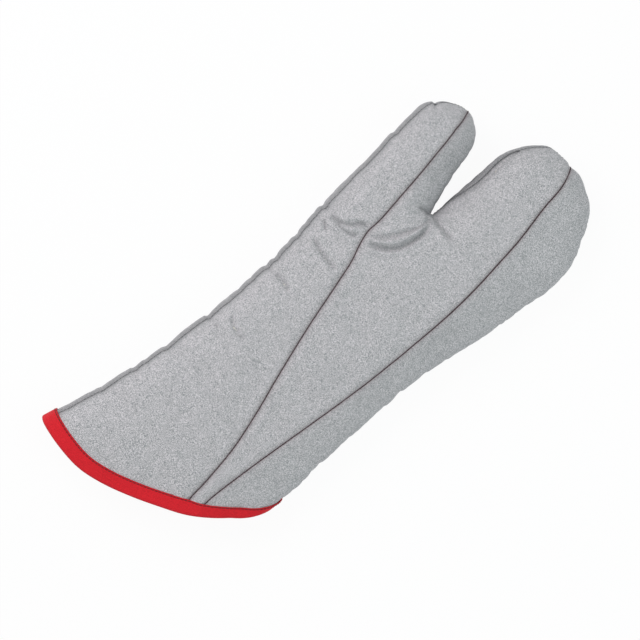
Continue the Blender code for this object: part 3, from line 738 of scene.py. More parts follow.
@dataclass
class GloveCloth:
    """The outer surface of the glove: welded plan grids raised to the front and the back."""

    pattern: GlovePattern
    grid: GridSizes
    relief: ClothRelief
    spacing: ColumnSpacing = field(default_factory=ColumnSpacing)

    def __post_init__(self) -> None:
        """Lay the grids, raise them and give them their folds."""
        self.plan_list: list[Array] = []
        self.share_list: list[float] = []
        self.lookup: dict[tuple[float, float], int] = {}
        self.triangles: dict[Panel, list[tuple[int, int, int]]] = {panel: [] for panel in Panel}
        self.coarse: dict[Panel, list[tuple[int, int, int]]] = {panel: [] for panel in Panel}
        self.grids: list[Array] = []
        self.lay_grids()
        self.plan = np.array(self.plan_list)
        self.row_shares = np.array(self.share_list)
        self.raise_surface()
        self.measure()
        self.shape_relief()

    def vertex(self, point: Array, share: float) -> int:
        """Find the index of a plan point, which is added the first time.

        Args:
            point: The plan point.
            share: Its share of the sleeve's length above the cuff.

        Returns:
            The index.
        """
        key = (round(float(point[0]), WELD_DIGITS), round(float(point[1]), WELD_DIGITS))
        if key not in self.lookup:
            self.lookup[key] = len(self.plan_list)
            self.plan_list.append(point)
            self.share_list.append(share)
        return self.lookup[key]

    def patch(self, left: Array, right: Array, bottom: Array, top: Array, rows: Array, count: int,
              crowd: Sequence[Array | float]) -> Array:
        """Blend a grid of plan points from its four edges.

        Args:
            left: Left edge.
            right: Right edge.
            bottom: Bottom edge.
            top: Top edge.
            rows: Row shares.
            count: Number of columns.
            crowd: Crowding at the start and the end for an outline, then the same for a seam.

        Returns:
            Points by row and column.
        """
        starts, ends = along(left, rows), along(right, rows)
        widths = np.linalg.norm(ends - starts, axis=1)
        crowds = [np.broadcast_to(np.asarray(c, dtype=float), rows.shape) for c in crowd]
        across = np.array([self.spacing.shares(w, count, *c) for w, *c in zip(widths, *crowds)])
        a, b = across[..., None], rows[:, None, None]
        sides = (1 - a) * starts[:, None] + a * ends[:, None]
        caps = (1 - b) * along(bottom, across) + b * along(top, across)
        corners = ((1 - a) * (1 - b) * left[0] + a * (1 - b) * right[0]
                   + (1 - a) * b * left[-1] + a * b * right[-1])
        return sides + caps - corners

    def add_patch(self, panel: Panel, points: Array, rows: Array, falling: bool = False) -> Array:
        """Weld a grid in and note its triangles for the panel.

        Args:
            panel: Panel that the grid belongs to.
            points: Plan points by row and column.
            rows: Share of the sleeve's length for each row.
            falling: Whether the diagonals fall to the right.

        Returns:
            Vertex indices by row and column.
        """
        index = np.array([[self.vertex(point, share) for point in line]
                          for line, share in zip(points, rows)])
        for step, store in ((1, self.triangles), (2, self.coarse)):
            some = index[::step, ::step]
            a, b, c, d = some[:-1, :-1], some[:-1, 1:], some[1:, 1:], some[1:, :-1]
            pairs = ((a, b, d), (b, c, d)) if falling else ((a, b, c), (a, c, d))
            for pair in pairs:
                corners = np.stack([corner.ravel() for corner in pair], axis=1)
                store[panel].extend(map(tuple, corners.tolist()))
        self.grids.append(index)
        return index

    def lobe_rows(self, count: int) -> Array:
        """Share out the rows of the thumb or the hand, which crowd at the crotch and at the tip.

        Args:
            count: Number of cells.

        Returns:
            Shares from 0 to 1.
        """
        even = np.linspace(0, 1, count + 1)
        weight = self.grid.even_lobe_rows
        return weight * even + (1 - weight) * (1 - np.cos(math.pi * even)) / 2

    def sleeve_row_shares(self) -> Array:
        """Share out the rows of the sleeve: a few under the binding, and crowded at the crotch.

        Returns:
            Shares of the sleeve's length from 0 to 1.
        """
        s, g = self.pattern.sizes, self.grid
        first = s.binding_width / s.sleeve_length
        even = np.linspace(0, 1, g.sleeve_rows + 1)
        body = 1 - (1 - even) ** g.sleeve_crowding
        return np.concatenate([np.linspace(0, first, g.binding_rows + 1)[:-1],
                               first + (1 - first) * body])

    def lay_row(self, rows: Array, shares: Array, patches: Iterable[tuple]) -> list[Array]:
        """Lay grids side by side.

        Args:
            rows: Row shares of the grids.
            shares: Share of the sleeve's length for each row.
            patches: For each grid its panel, the names of its left and right lines, its bottom and
                top line, its number of columns, their crowding and whether its diagonals fall.

        Returns:
            Vertex indices by row and column of each grid.
        """
        p = self.pattern.lines
        return [self.add_patch(panel, self.patch(p[left], p[right], bottom, top, rows, columns,
                                                 crowd), shares, falling)
                for panel, left, right, bottom, top, columns, crowd, falling in patches]

    def lay_grids(self) -> None:
        """Lay the grids of the three front panels over the sleeve, the thumb and the hand."""
        p, g = self.pattern.lines, self.grid
        names = ("left_edge", "thumb_seam", "middle", "hand_seam", "right_edge")
        levels = [p[name][-1] for name in names]
        tops = [np.array([start, end]) for start, end in zip(levels, levels[1:])]
        thumb_side, palm, outer_side = FRONT_PANELS
        rows = self.sleeve_row_shares()
        late = rows ** g.middle_crowding
        sleeve = self.lay_row(rows, rows, (
            (thumb_side, "left_edge", "thumb_seam", p["cuff_thumb_side"], tops[0], g.thumb_side,
             (1, 0, 0, 1), False),
            (palm, "thumb_seam", "middle", p["cuff_palm_left"], tops[1], g.palm_left,
             (0, late, 1, 0), False),
            (palm, "middle", "hand_seam", p["cuff_palm_right"], tops[2], g.palm_right,
             (late, 0, 0, 1), False),
            (outer_side, "hand_seam", "right_edge", p["cuff_outer_side"], tops[3], g.outer_side,
             (0, 1, 1, 0), True),
        ))
        rows = self.lobe_rows(g.thumb_rows)
        thumb = self.lay_row(rows, np.ones(len(rows)), (
            (thumb_side, "thumb_left", "thumb_seam_tip", tops[0], p["thumb_tip_left"],
             g.thumb_side, (1, 0, 0, 1), True),
            (palm, "thumb_seam_tip", "thumb_right", tops[1], p["thumb_tip_right"], g.palm_left,
             (0, 1, 1, 0), False),
        ))
        rows = self.lobe_rows(g.hand_rows)
        hand = self.lay_row(rows, np.ones(len(rows)), (
            (palm, "hand_left", "hand_seam_tip", tops[2], p["hand_tip_left"], g.palm_right,
             (1, 0, 0, 1), True),
            (outer_side, "hand_seam_tip", "hand_right", tops[3], p["hand_tip_right"],
             g.outer_side, (0, 1, 1, 0), False),
        ))
        self.cuff_rows = [np.concatenate([sleeve[0][k], *(part[k][1:] for part in sleeve[1:])])
                          for k in range(g.binding_rows + 1)]
        self.thumb_seam_line = np.concatenate([sleeve[0][:, -1], thumb[0][1:, -1]])
        self.hand_seam_line = np.concatenate([sleeve[3][:, 0], hand[1][1:, 0]])
        self.perimeter_line = np.concatenate([
            sleeve[0][:, 0], thumb[0][1:, 0], thumb[0][-1, 1:], thumb[1][-1, 1:],
            thumb[1][-2::-1, -1], hand[0][1:, 0], hand[0][-1, 1:], hand[1][-1, 1:],
            hand[1][-2::-1, -1], sleeve[3][-2::-1, -1],
        ])

    def cuff_loops(self) -> list[Array]:
        """Close the rows under the binding round the front and the back of the cuff.

        Returns:
            Point indices of each loop, from the cuff's edge inwards.
        """
        return [np.concatenate([row, self.back_index[row[-2:0:-1]]]) for row in self.cuff_rows]

    def edge_distance(self, points: Array) -> tuple[Array, Array]:
        """Measure to the outline.

        Args:
            points: Plan points.

        Returns:
            Each point's distance and the inward direction at its nearest place.
        """
        outline = self.pattern.outline
        unit = segments(outline)[1]
        across = np.stack([unit[:, 1], -unit[:, 0]], axis=1)
        corner = across + np.roll(across, 1, axis=0)
        corner /= np.maximum(np.linalg.norm(corner, axis=1), TINY)[:, None]
        gap, number, _ = nearest_places(points, outline)
        distance = np.linalg.norm(gap, axis=1)
        inward = gap / np.maximum(distance, TINY)[:, None]
        return distance, np.where((distance > TINY)[:, None], inward, corner[number])

    def softness(self, points: Array) -> Array:
        """Measure softly to the outline: as far as a single edge, less between two close ones.

        Args:
            points: Plan points.

        Returns:
            One soft distance for each point.
        """
        start, unit, length = segments(self.pattern.outline)
        found = []
        for block in in_blocks(points):
            rel = block[:, None, :] - start[None]
            near = (rel * unit).sum(-1)
            off = np.abs(rel[..., 0] * unit[:, 1] - rel[..., 1] * unit[:, 0])
            off = np.maximum(off, TINY)
            far = near - length
            pull = (near / np.hypot(off, near) - far / np.hypot(off, far)) / off ** 2
            found.append(np.sqrt(2 / pull.sum(axis=1)))
        return np.concatenate(found)

    def height(self, points: Array, sides: Array, row_shares: Array) -> tuple[Array, Array]:
        """Heights of plan points on the front or the back, from the level of the glove's edge.

        Args:
            points: Plan points.
            sides: 1 on the front, -1 on the back, 0 on the edge.
            row_shares: Share of the sleeve's length above the cuff.

        Returns:
            Heights of the round form and of the sewn form with its flat sides.
        """
        s = self.pattern.sizes
        soft = self.softness(points)
        stations, rises = np.array(s.crown_stations).T
        rise = s.front_crown * np.interp(-points[:, 1] / s.sleeve_length, stations, rises)
        front = rise * np.sqrt(1 - np.exp(-2 * soft / s.front_rounding))
        sewn = self.faceted(points, soft, rise, front)
        back = -s.back_crown * np.sqrt(1 - np.exp(-2 * soft / s.back_rounding))
        settled = np.clip((s.squeezed_share - row_shares) / (s.squeezed_share / 2), 0, 1)
        floor = -s.flat_share * s.back_crown + settled * s.binding_proud
        back = np.maximum(back, floor)
        return np.where(sides > 0, front, back), np.where(sides > 0, sewn, back)

    def faceted(self, points: Array, soft: Array, rise: Array, front: Array) -> Array:
        """Flatten the cloth between a ridge seam and the edge that it falls away to.

        Args:
            points: Plan points.
            soft: Soft distance to the outline.
            rise: Height of the crown.
            front: Height of the round form.

        Returns:
            Heights of the front.
        """
        s, lines = self.pattern.sizes, self.pattern.lines
        on_thumb = np.clip(self.flat[:, 1] / (s.facet_start * s.thumb_length), 0, 1)
        thumb = self.panel_points(Panel.PALM) & (self.flat[:, 0] < 0)
        for mask, seam, share in ((self.panel_points(Panel.OUTER_SIDE), "hand_seam_whole", 1.0),
                                  (thumb, "thumb_seam_whole", on_thumb)):
            gap, _ = near_line(points, lines[seam])
            full = rise * np.sqrt(1 - np.exp(-2 * (soft + gap) / s.front_rounding))
            step = s.facet_edge * np.sqrt(1 - np.exp(-2 * soft / s.facet_rounding))
            up = soft / (soft + gap + TINY)
            flat = np.minimum(front, step * (1 - up) + full * up)
            front = np.where(mask, front + (flat - front) * share, front)
        return front

    def rolled(self, points: Array, sides: Array) -> tuple[Array, Array]:
        """Slide points round the edge, so that the perimeter seam turns to the right.

        Args:
            points: Plan points.
            sides: 1 on the front, -1 on the back, 0 on the edge.

        Returns:
            The moved points, and the side that each comes to lie on.
        """
        s = self.pattern.sizes
        distance, inward = self.edge_distance(points)
        near = np.minimum(distance, s.roll_band) / s.roll_band
        turn = sides * np.arccos(1 - near)
        from_crotch = np.linalg.norm(points - self.pattern.lines["crotch"], axis=1)
        eased = 1 - np.exp(-(from_crotch / s.crotch_ease) ** 2)
        lean = inward[:, 0] + s.tip_turn * np.minimum(inward[:, 1], 0)
        roll = math.acos(1 - s.seam_roll / s.roll_band) * lean * eased
        turned = turn + roll * (1 - np.abs(turn) / QUARTER_TURN)
        move = np.where(distance < s.roll_band, s.roll_band * (1 - np.cos(turned)) - distance, 0)
        return (points + move[:, None] * inward,
                np.where(distance < s.roll_band, np.sign(turned), sides))

    def raise_surface(self) -> None:
        """Make the points of the front and the back, which share the points of the edge."""
        count = len(self.plan)
        on_edge = np.zeros(count, dtype=bool)
        on_edge[self.perimeter_line] = True
        inner = np.flatnonzero(~on_edge)
        self.back_index = np.arange(count)
        self.back_index[inner] = count + np.arange(len(inner))
        plan = np.vstack([self.plan, self.plan[inner]])
        self.shares = np.concatenate([self.row_shares, self.row_shares[inner]])
        sides = np.concatenate([np.where(on_edge, 0, 1), np.full(len(inner), -1)]).astype(float)
        self.flat = plan
        self.flat_sides = sides
        points, sides = self.rolled(plan, sides)
        self.sides = sides
        plain, sewn = self.height(points, sides, self.shares)
        self.base = np.column_stack([points, sewn])
        front = sum((self.triangles[panel] for panel in FRONT_PANELS), [])
        flipped = self.back_index[np.array(front)[:, ::-1]]
        self.triangles[Panel.BACK] = list(map(tuple, flipped.tolist()))
        self.all_triangles = np.vstack([np.array(front), flipped])
        coarse = sum((self.coarse[panel] for panel in FRONT_PANELS), [])
        flipped = self.back_index[np.array(coarse)[:, ::-1]]
        self.coarse[Panel.BACK] = list(map(tuple, flipped.tolist()))
        self.base_normals = vertex_normals(np.column_stack([points, plain]), self.all_triangles)

    def measure(self) -> None:
        """Note how far each point lies from the seams and the edge."""
        lines = self.pattern.lines
        self.thumb_gap, _ = near_line(self.flat, lines["thumb_seam_whole"])
        self.hand_gap, _ = near_line(self.flat, lines["hand_seam_whole"])
        self.edge_gap, self.edge_place = near_line(self.flat, self.pattern.outline)
        front = self.flat_sides >= 0
        far = 1.0
        self.thumb_gap = np.where(front, self.thumb_gap, far)
        self.hand_gap = np.where(front, self.hand_gap, far)

    def panel_points(self, panel: Panel) -> Array:
        """Mark the points that a front panel has.

        Args:
            panel: The panel.

        Returns:
            A mask over all points.
        """
        mask = np.zeros(len(self.flat), dtype=bool)
        mask[np.array(self.triangles[panel]).ravel()] = True
        return mask

    def seam_relief(self) -> Array:
        """Press a groove along the front seams, with a pillow beside it.

        Returns:
            Distances along the normals.
        """
        r = self.relief
        relief = np.zeros(len(self.base))
        hidden = np.clip(1 - self.shares / (self.pattern.sizes.binding_width
                                            / self.pattern.sizes.sleeve_length), 0, 1)
        shown = np.clip(1 - 3 * hidden, 0, 1) * np.clip(self.edge_gap / r.seam_ease, 0, 1)
        for gap in (self.thumb_gap, self.hand_gap):
            relief -= r.seam_sink * np.exp(-gap / r.seam_groove)
            relief += r.seam_pillow * np.exp(-((gap - r.pillow_place) / r.pillow_width) ** 2)
        return relief * shown

    def fold_relief(self) -> Array:
        """Lay the creases and rolls of the front, and note how much painted shade each point gets
        in them.

        Returns:
            Distances along the normals.
        """
        r = self.relief
        relief = np.zeros(len(self.base))
        front = self.flat_sides > 0
        for fold in r.folds:
            line = smooth_curve([(x * MM, y * MM) for x, y in fold.path], r.fold_steps)
            near = front & (np.abs(self.flat - line.mean(axis=0)).max(axis=1) < r.fold_window)
            gap, place = near_line(self.flat[near], line)
            length = np.linalg.norm(np.diff(line, axis=0), axis=1).sum()
            share = place / length
            end, power = r.fold_fade
            fade = np.clip(np.minimum(share, 1 - share) / end, 0.0, 1) ** power
            off = gap / MM / fold.width
            lip_place, lip_width = r.fold_lip
            lip = fold.lip * np.exp(-((off - lip_place) / lip_width) ** 2)
            profile = np.exp(-off ** 2) - lip
            relief[near] += fold.rise * MM * profile * fade
            # A sunken fold also gets painted shade: a dark line along it, set by its width and
            # strength.
            if fold.rise < 0:
                dark = np.exp(-(gap / MM / (r.fold_dark * fold.width)) ** 2) * fade * fold.dark
                self.painted_shade[near] = np.maximum(self.painted_shade[near], dark)
        return relief

    def edge_relief(self) -> Array:
        """Sink the perimeter seam, with its scallops and tight notches.

        Returns:
            Distances along the normals.
        """
        r = self.relief
        inside = np.exp(-(self.edge_gap / r.scallop_reach) ** 2)
        place = self.edge_place
        warp = sum(wave.at(place) for wave in r.scallop_warps)
        wave = np.abs(np.sin(math.pi * place / r.scallop_pitch + warp * r.warp_turns))
        strength = r.scallop_strength + r.strength_wave.at(place)
        relief = -r.scallop * (1 - wave) ** r.scallop_sharpness * strength * inside
        relief = relief - r.edge_sink * np.exp(-self.edge_gap / r.edge_groove)
        for pucker in r.puckers:
            spot = np.array([[pucker.place[0] * MM, pucker.place[1] * MM]])
            _, at = near_line(spot, self.pattern.outline)
            along_edge = (place - at[0]) / (pucker.width * MM)
            ramp = np.where(along_edge > 0, np.exp(-along_edge / r.pucker_tail),
                            np.exp(-along_edge ** 2))
            relief -= pucker.depth * MM * ramp * np.exp(-(self.edge_gap / r.pucker_reach) ** 2)
        return relief * np.clip(self.shares / r.edge_ease, 0, 1)

    def swell_relief(self) -> Array:
        """Make the padding slowly uneven, by waves in random directions.

        Returns:
            Distances along the normals.
        """
        r = self.relief
        x, y = self.base[:, 0] / MM, self.base[:, 1] / MM
        rng = np.random.default_rng(r.swell_seed)
        relief = np.zeros(len(x))
        for _ in range(r.swell_waves):
            angle = rng.uniform(0, math.pi)
            length = rng.uniform(*r.swell_lengths)
            phase = rng.uniform(0, r.swell_phase)
            run = (x * math.cos(angle) + y * math.sin(angle)) * 2 * math.pi / length
            relief += (length / r.swell_lengths[1]
                       * np.sin(run + phase + r.swell_lean * self.sides))
        side = np.where(self.sides > 0, 1, r.swell_back)
        return r.swell * relief / r.swell_sum * side * np.clip(self.shares / r.swell_ease, 0, 1)

    def simulated(self, points: Array, normals: Array) -> Array:
        """Find how far a cloth simulation moves each point, eased out at the edge and the cuff.

        Args:
            points: Points of the relief.
            normals: Their directions.

        Returns:
            Distances along the normals.
        """
        s, cloth = self.pattern.sizes, ClothRun()
        seams = np.concatenate([self.thumb_seam_line, self.hand_seam_line, self.perimeter_line])
        bound = np.flatnonzero(self.shares < cloth.bound_share * s.binding_width / s.sleeve_length)
        resting = np.flatnonzero(points[:, 2] < points[:, 2].min() + cloth.rest_height)
        held = points[np.concatenate([seams, bound, resting[::cloth.rest_step]])]
        moved = cloth.run(points, normals, self.all_triangles, held)
        length, start = cloth.cuff_ease
        ease = (np.clip(self.edge_gap / cloth.edge_ease, 0, 1)
                * np.clip(self.shares / length - start, 0, 1))
        return moved * ease

    def shape_relief(self) -> None:
        """Move the plain form by every part of the relief."""
        form, normals = self.base, self.base_normals
        self.form, self.form_normals = form, normals
        # Painted shade for each point, filled in by the sunken folds.
        self.painted_shade = np.zeros(len(form))
        offset = (self.fold_relief() + self.seam_relief() + self.edge_relief()
                  + self.swell_relief())
        offset = offset + self.simulated(form + normals * offset[:, None], normals)
        points = form + normals * offset[:, None]
        floor = form[:, 2].min()
        points[:, 2] = np.maximum(points[:, 2], floor)
        self.relief_depth = -((points - form) * normals).sum(axis=1)
        self.points = points
        self.normals = vertex_normals(points, self.all_triangles)


@dataclass
class Workshop:
    """Turns arrays into Blender objects in the frame's place."""

    offset: Array
    body: str = "root"

    def mesh_object(self, name: str, points: Array, faces: Sequence[Sequence[int]],
                    material: bpy.types.Material) -> bpy.types.Object:
        """Make a smoothly shaded mesh object at the origin, with its place in its mesh.

        Args:
            name: Name of the piece.
            points: Points in the pattern's frame.
            faces: Vertex indices of each face.
            material: Finish of the piece.

        Returns:
            The linked object.
        """
        mesh = bpy.data.meshes.new(name)
        placed = np.asarray(points) + self.offset
        mesh.from_pydata(placed.tolist(), [], [list(map(int, face)) for face in faces])
        mesh.materials.append(material)
        mesh.shade_smooth()
        return link_object(name, mesh)

    def finish(self, obj: bpy.types.Object, slot: str, nodes: Sequence[str]) -> bpy.types.Object:
        """Let a piece ride on the glove and stand for its CAD nodes.

        Args:
            obj: The piece.
            slot: Material slot of the record; not used.
            nodes: CAD nodes that it stands for.

        Returns:
            The piece.
        """
        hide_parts(*nodes)
        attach(obj, self.body)
        LOG.info("%s: %d points, %d faces", obj.name, len(obj.data.vertices),
                 len(obj.data.polygons))
        return obj


def point_attribute(obj: bpy.types.Object, name: str, values: Array) -> None:
    """Store one number for each point of a mesh."""
    attribute = obj.data.attributes.new(name, "FLOAT", "POINT")
    attribute.data.foreach_set("value", np.asarray(values, dtype=np.float32))


def point_uv(obj: bpy.types.Object, places: Array) -> None:
    """Store a UV map of a mesh.

    Args:
        obj: The piece.
        places: One place on the flat cloth for each point.
    """
    layer = obj.data.uv_layers.new(name="cloth")
    corners = np.zeros(len(obj.data.loops), dtype=np.int32)
    obj.data.loops.foreach_get("vertex_index", corners)
    layer.data.foreach_set("uv", places[corners].astype(np.float32).ravel())


class NodeBench:
    """Adds nodes to one tree and links them."""

    def __init__(self, tree: bpy.types.NodeTree) -> None:
        """Take the tree that the nodes go into."""
        self.tree = tree

    def add(self, kind: str, inputs: dict[str | int, object] | None = None,
            **settings: object) -> bpy.types.Node:
        """Add a node.

        Args:
            kind: Node type.
            inputs: Values or output sockets for its inputs, by name or number.
            settings: Properties of the node.

        Returns:
            The node.
        """
        node = self.tree.nodes.new(kind)
        for name, value in settings.items():
            setattr(node, name, value)
        for key, value in (inputs or {}).items():
            if isinstance(value, bpy.types.NodeSocket):
                self.tree.links.new(value, node.inputs[key])
            else:
                node.inputs[key].default_value = value
        return node

    def math(self, operation: str, a: object, b: object = 0.0) -> bpy.types.NodeSocket:
        """Add a Math node and return its result."""
        return self.add("ShaderNodeMath", {0: a, 1: b}, operation=operation).outputs[0]

    def mix(self, factor: object, a: object, b: object) -> bpy.types.NodeSocket:
        """Mix two colours, with the factor held between 0 and 1, and return the result."""
        return self.add("ShaderNodeMix", {0: factor, 6: a, 7: b}, data_type="RGBA",
                        clamp_factor=True).outputs[2]

    def span(self, value: bpy.types.NodeSocket, low: float, high: float, to_low: float = 0.0,
             to_high: float = 1.0) -> bpy.types.NodeSocket:
        """Map a value from one range to another, held at the ends."""
        node = self.add("ShaderNodeMapRange", {0: value, 1: low, 2: high, 3: to_low, 4: to_high})
        return node.outputs[0]


TreeBuilder = Callable[[NodeBench, bpy.types.Node, bpy.types.Node], None]


def clear_bench(owner: bpy.types.Material | bpy.types.World) -> NodeBench:
    """Let a material or a world use nodes, and clear its tree.

    Args:
        owner: The material or the world.

    Returns:
        A bench for the empty tree.
    """
    owner.use_nodes = True
    owner.node_tree.nodes.clear()
    return NodeBench(owner.node_tree)


def shader_group(name: str, inputs: Sequence[tuple[str, str, object]],
                 outputs: Sequence[tuple[str, str]], build: TreeBuilder) -> bpy.types.NodeTree:
    """Make a shader node group.

    Args:
        name: Name of the group.
        inputs: Name, socket type and default of each input.
        outputs: Name and socket type of each output.
        build: Fills the tree between its group input and output.

    Returns:
        The group.
    """
    tree = bpy.data.node_groups.new(name, "ShaderNodeTree")
    for label, kind, default in inputs:
        socket = tree.interface.new_socket(label, in_out="INPUT", socket_type=kind)
        if default is not None:
            socket.default_value = default
    for label, kind in outputs:
        tree.interface.new_socket(label, in_out="OUTPUT", socket_type=kind)
    bench = NodeBench(tree)
    build(bench, bench.add("NodeGroupInput"), bench.add("NodeGroupOutput"))
    return tree


@dataclass(frozen=True)
class GrainNoise:
    """One size of noise in the cloth's grain: how it is drawn and how strongly it counts."""

    scale_input: str
    scale: float
    detail: float
    low: float
    high: float
    share: float = 1.0
    roughness: float = 0.6

    def factor(self, bench: NodeBench, source: bpy.types.Node,
               place: bpy.types.NodeSocket) -> bpy.types.NodeSocket:
        """Add the noise.

        Args:
            bench: Adds the node.
            source: The group's input.
            place: Coordinates.

        Returns:
            The noise, from 0 to 1.
        """
        return bench.add("ShaderNodeTexNoise", {
            "Vector": place, "Scale": source.outputs[self.scale_input], "Detail": self.detail,
            "Roughness": self.roughness}).outputs["Fac"]


SPECKS = GrainNoise("Fine Scale", 1700.0, 1.0, 0.32, 0.68, 0.92)
PATCHES = GrainNoise("Coarse Scale", 240.0, 2.0, 0.35, 0.65, 0.08)
CLOUD = GrainNoise("Cloud Scale", 28.0, 3.0, 0.3, 0.7)


def build_grain(bench: NodeBench, source: bpy.types.Node, target: bpy.types.Node) -> None:
    """Fill the grain group: fine specks of three sizes on Object coordinates.

    Args:
        bench: Adds the nodes.
        source: The group's input.
        target: The group's output.
    """
    place = bench.add("ShaderNodeTexCoord").outputs["Object"]
    fine, coarse, cloud = (noise.factor(bench, source, place)
                           for noise in (SPECKS, PATCHES, CLOUD))
    specks = bench.span(fine, SPECKS.low, SPECKS.high, -1.0, 1.0)
    patches = bench.span(coarse, PATCHES.low, PATCHES.high, -1.0, 1.0)
    both = bench.math("ADD", bench.math("MULTIPLY", specks, SPECKS.share),
                      bench.math("MULTIPLY", patches, PATCHES.share))
    bench.tree.links.new(both, target.inputs["Grain"])
    bench.tree.links.new(bench.span(cloud, CLOUD.low, CLOUD.high), target.inputs["Cloud"])


def build_weave(bench: NodeBench, source: bpy.types.Node, target: bpy.types.Node) -> None:
    """Fill the weave group: yarns that pass over and under each other on the cloth map.

    Args:
        bench: Adds the nodes.
        source: The group's input.
        target: The group's output.
    """
    place = bench.add("ShaderNodeUVMap", uv_map="cloth").outputs["UV"]
    split = bench.add("ShaderNodeSeparateXYZ", {0: place})
    count = source.outputs["Yarns Per Metre"]
    waves = []
    for axis in (0, 1):
        turns = bench.math("MULTIPLY", split.outputs[axis], count)
        waves.append(bench.math("SINE", bench.math("MULTIPLY", turns, math.pi)))
    across = bench.math("ABSOLUTE", waves[0])
    along_yarn = bench.math("ABSOLUTE", waves[1])
    sign = bench.math("MULTIPLY", waves[0], waves[1])
    over = bench.math("GREATER_THAN", sign, 0.0)
    pick = bench.math("MULTIPLY", over, across)
    rest = bench.math("MULTIPLY", bench.math("SUBTRACT", 1.0, over), along_yarn)
    bench.tree.links.new(bench.math("ADD", pick, rest), target.inputs["Height"])


@dataclass(frozen=True)
class ClothFinish:
    """Finish of one cloth: colours in linear RGB, weave, grain and painted shade."""

    name: str
    light: Triple
    dark: Triple
    roughness: float
    yarns: float
    grain: float
    bump: float
    metallic: float = 0.0
    sheen: float = 0.0
    seam_tint: Triple = (0.35, 0.10, 0.10)
    seam_tint_share: float = 0.0
    middle_level: float = 0.42
    cloud_share: float = 0.16
    # Painted shade: how far it darkens the colour, and its tone as a share of the dark colour.
    painted_shade_share: float = 0.5
    painted_shade_tone: float = 0.45
    rough_spread: float = 0.08
    specular: float = 0.25
    weave_height: float = 0.6
    grain_height: float = 0.5
    bump_distance: float = 0.15 * MM

    def material(self, groups: dict[str, bpy.types.NodeTree]) -> bpy.types.Material:
        """Build the material.

        Args:
            groups: The shared node groups.

        Returns:
            The material.
        """
        material = bpy.data.materials.new(self.name)
        bench = clear_bench(material)
        tree = bench.tree
        output = bench.add("ShaderNodeOutputMaterial")
        shader = bench.add("ShaderNodeBsdfPrincipled")
        tree.links.new(shader.outputs[0], output.inputs[0])
        grain = bench.add("ShaderNodeGroup", node_tree=groups["grain"])
        weave = bench.add("ShaderNodeGroup", node_tree=groups["weave"])
        weave.inputs["Yarns Per Metre"].default_value = self.yarns
        level = bench.math("ADD", bench.math("MULTIPLY", grain.outputs["Grain"], self.grain),
                           bench.math("MULTIPLY", grain.outputs["Cloud"], self.cloud_share))
        level = bench.math("ADD", level, self.middle_level)
        color = bench.mix(level, (*self.dark, 1), (*self.light, 1))
        # Painted shade: the point attribute darkens the colour in creases, along the edge seam, at
        # the back's rim and on the binding.
        painted_shade = bench.add("ShaderNodeAttribute", attribute_name="painted_shade").outputs["Fac"]
        color = bench.mix(bench.span(painted_shade, 0.0, 1.0, 0.0, self.painted_shade_share), color,
                          (*(self.painted_shade_tone * c for c in self.dark), 1))
        if self.seam_tint_share:
            seam = bench.add("ShaderNodeAttribute", attribute_name="seam_near").outputs["Fac"]
            color = bench.mix(bench.math("MULTIPLY", seam, self.seam_tint_share), color,
                              (*self.seam_tint, 1))
        tree.links.new(color, shader.inputs["Base Color"])
        rough = bench.span(grain.outputs["Grain"], -1.0, 1.0, self.roughness + self.rough_spread,
                           self.roughness - self.rough_spread)
        tree.links.new(rough, shader.inputs["Roughness"])
        shader.inputs["Metallic"].default_value = self.metallic
        shader.inputs["Sheen Weight"].default_value = self.sheen
        shader.inputs["Specular IOR Level"].default_value = self.specular
        height = bench.math(
            "ADD", bench.math("MULTIPLY", weave.outputs["Height"], self.weave_height),
            bench.math("MULTIPLY", grain.outputs["Grain"], self.grain_height))
        bump = bench.add("ShaderNodeBump", {"Height": height, "Strength": self.bump,
                                            "Distance": self.bump_distance})
        tree.links.new(bump.outputs[0], shader.inputs["Normal"])
        return material


class Finishes:
    """Every finish of the glove, and the node groups that they share."""

    def __init__(self) -> None:
        """Build the groups and the materials."""
        scales = [(noise.scale_input, FLOAT, noise.scale) for noise in (SPECKS, PATCHES, CLOUD)]
        groups = {
            "grain": shader_group("grain", scales, (("Grain", FLOAT), ("Cloud", FLOAT)),
                                  build_grain),
            "weave": shader_group("weave", (("Yarns Per Metre", FLOAT, DEFAULT_YARNS),),
                                  (("Height", FLOAT),), build_weave),
        }
        self.aluminized = ClothFinish(
            "aluminized_cloth", light=(0.682, 0.660, 0.678), dark=(0.288, 0.303, 0.308),
            roughness=0.62, yarns=1400.0, grain=2.2, bump=0.5, metallic=0.15,
            seam_tint=(0.10, 0.040, 0.050), seam_tint_share=0.6).material(groups)
        self.wadding = ClothFinish(
            "wadding_felt", light=(0.72, 0.70, 0.64), dark=(0.58, 0.56, 0.50), roughness=0.95,
            yarns=500.0, grain=0.5, bump=0.8).material(groups)
        self.lining = ClothFinish(
            "cotton_lining", light=(0.74, 0.72, 0.67), dark=(0.60, 0.58, 0.53), roughness=0.9,
            yarns=1100.0, grain=0.35, bump=0.6, sheen=0.2).material(groups)
        self.binding = ClothFinish(
            "red_binding", light=(0.87, 0.017, 0.03), dark=(0.56, 0.010, 0.018), roughness=0.8,
            yarns=1500.0, grain=0.45, bump=0.6, sheen=0.05).material(groups)
        self.thread, self.edge_thread, self.binding_thread = (
            ClothFinish(name, light, dark, roughness=0.6, yarns=3000.0, grain=0.3,
                        bump=0.3).material(groups)
            for name, light, dark in (
                ("seam_thread", (0.036, 0.006, 0.008), (0.018, 0.003, 0.004)),
                ("edge_thread", (0.17, 0.175, 0.18), (0.09, 0.095, 0.10)),
                ("binding_thread", (0.10, 0.012, 0.016), (0.05, 0.008, 0.01)),
            ))


def outer_edges(triangles: Array) -> list[tuple[int, int]]:
    """List the directed edges that only one triangle has."""
    edges = {(t[k], t[(k + 1) % 3]) for t in triangles.tolist() for k in range(3)}
    return sorted((a, b) for a, b in edges if (b, a) not in edges)


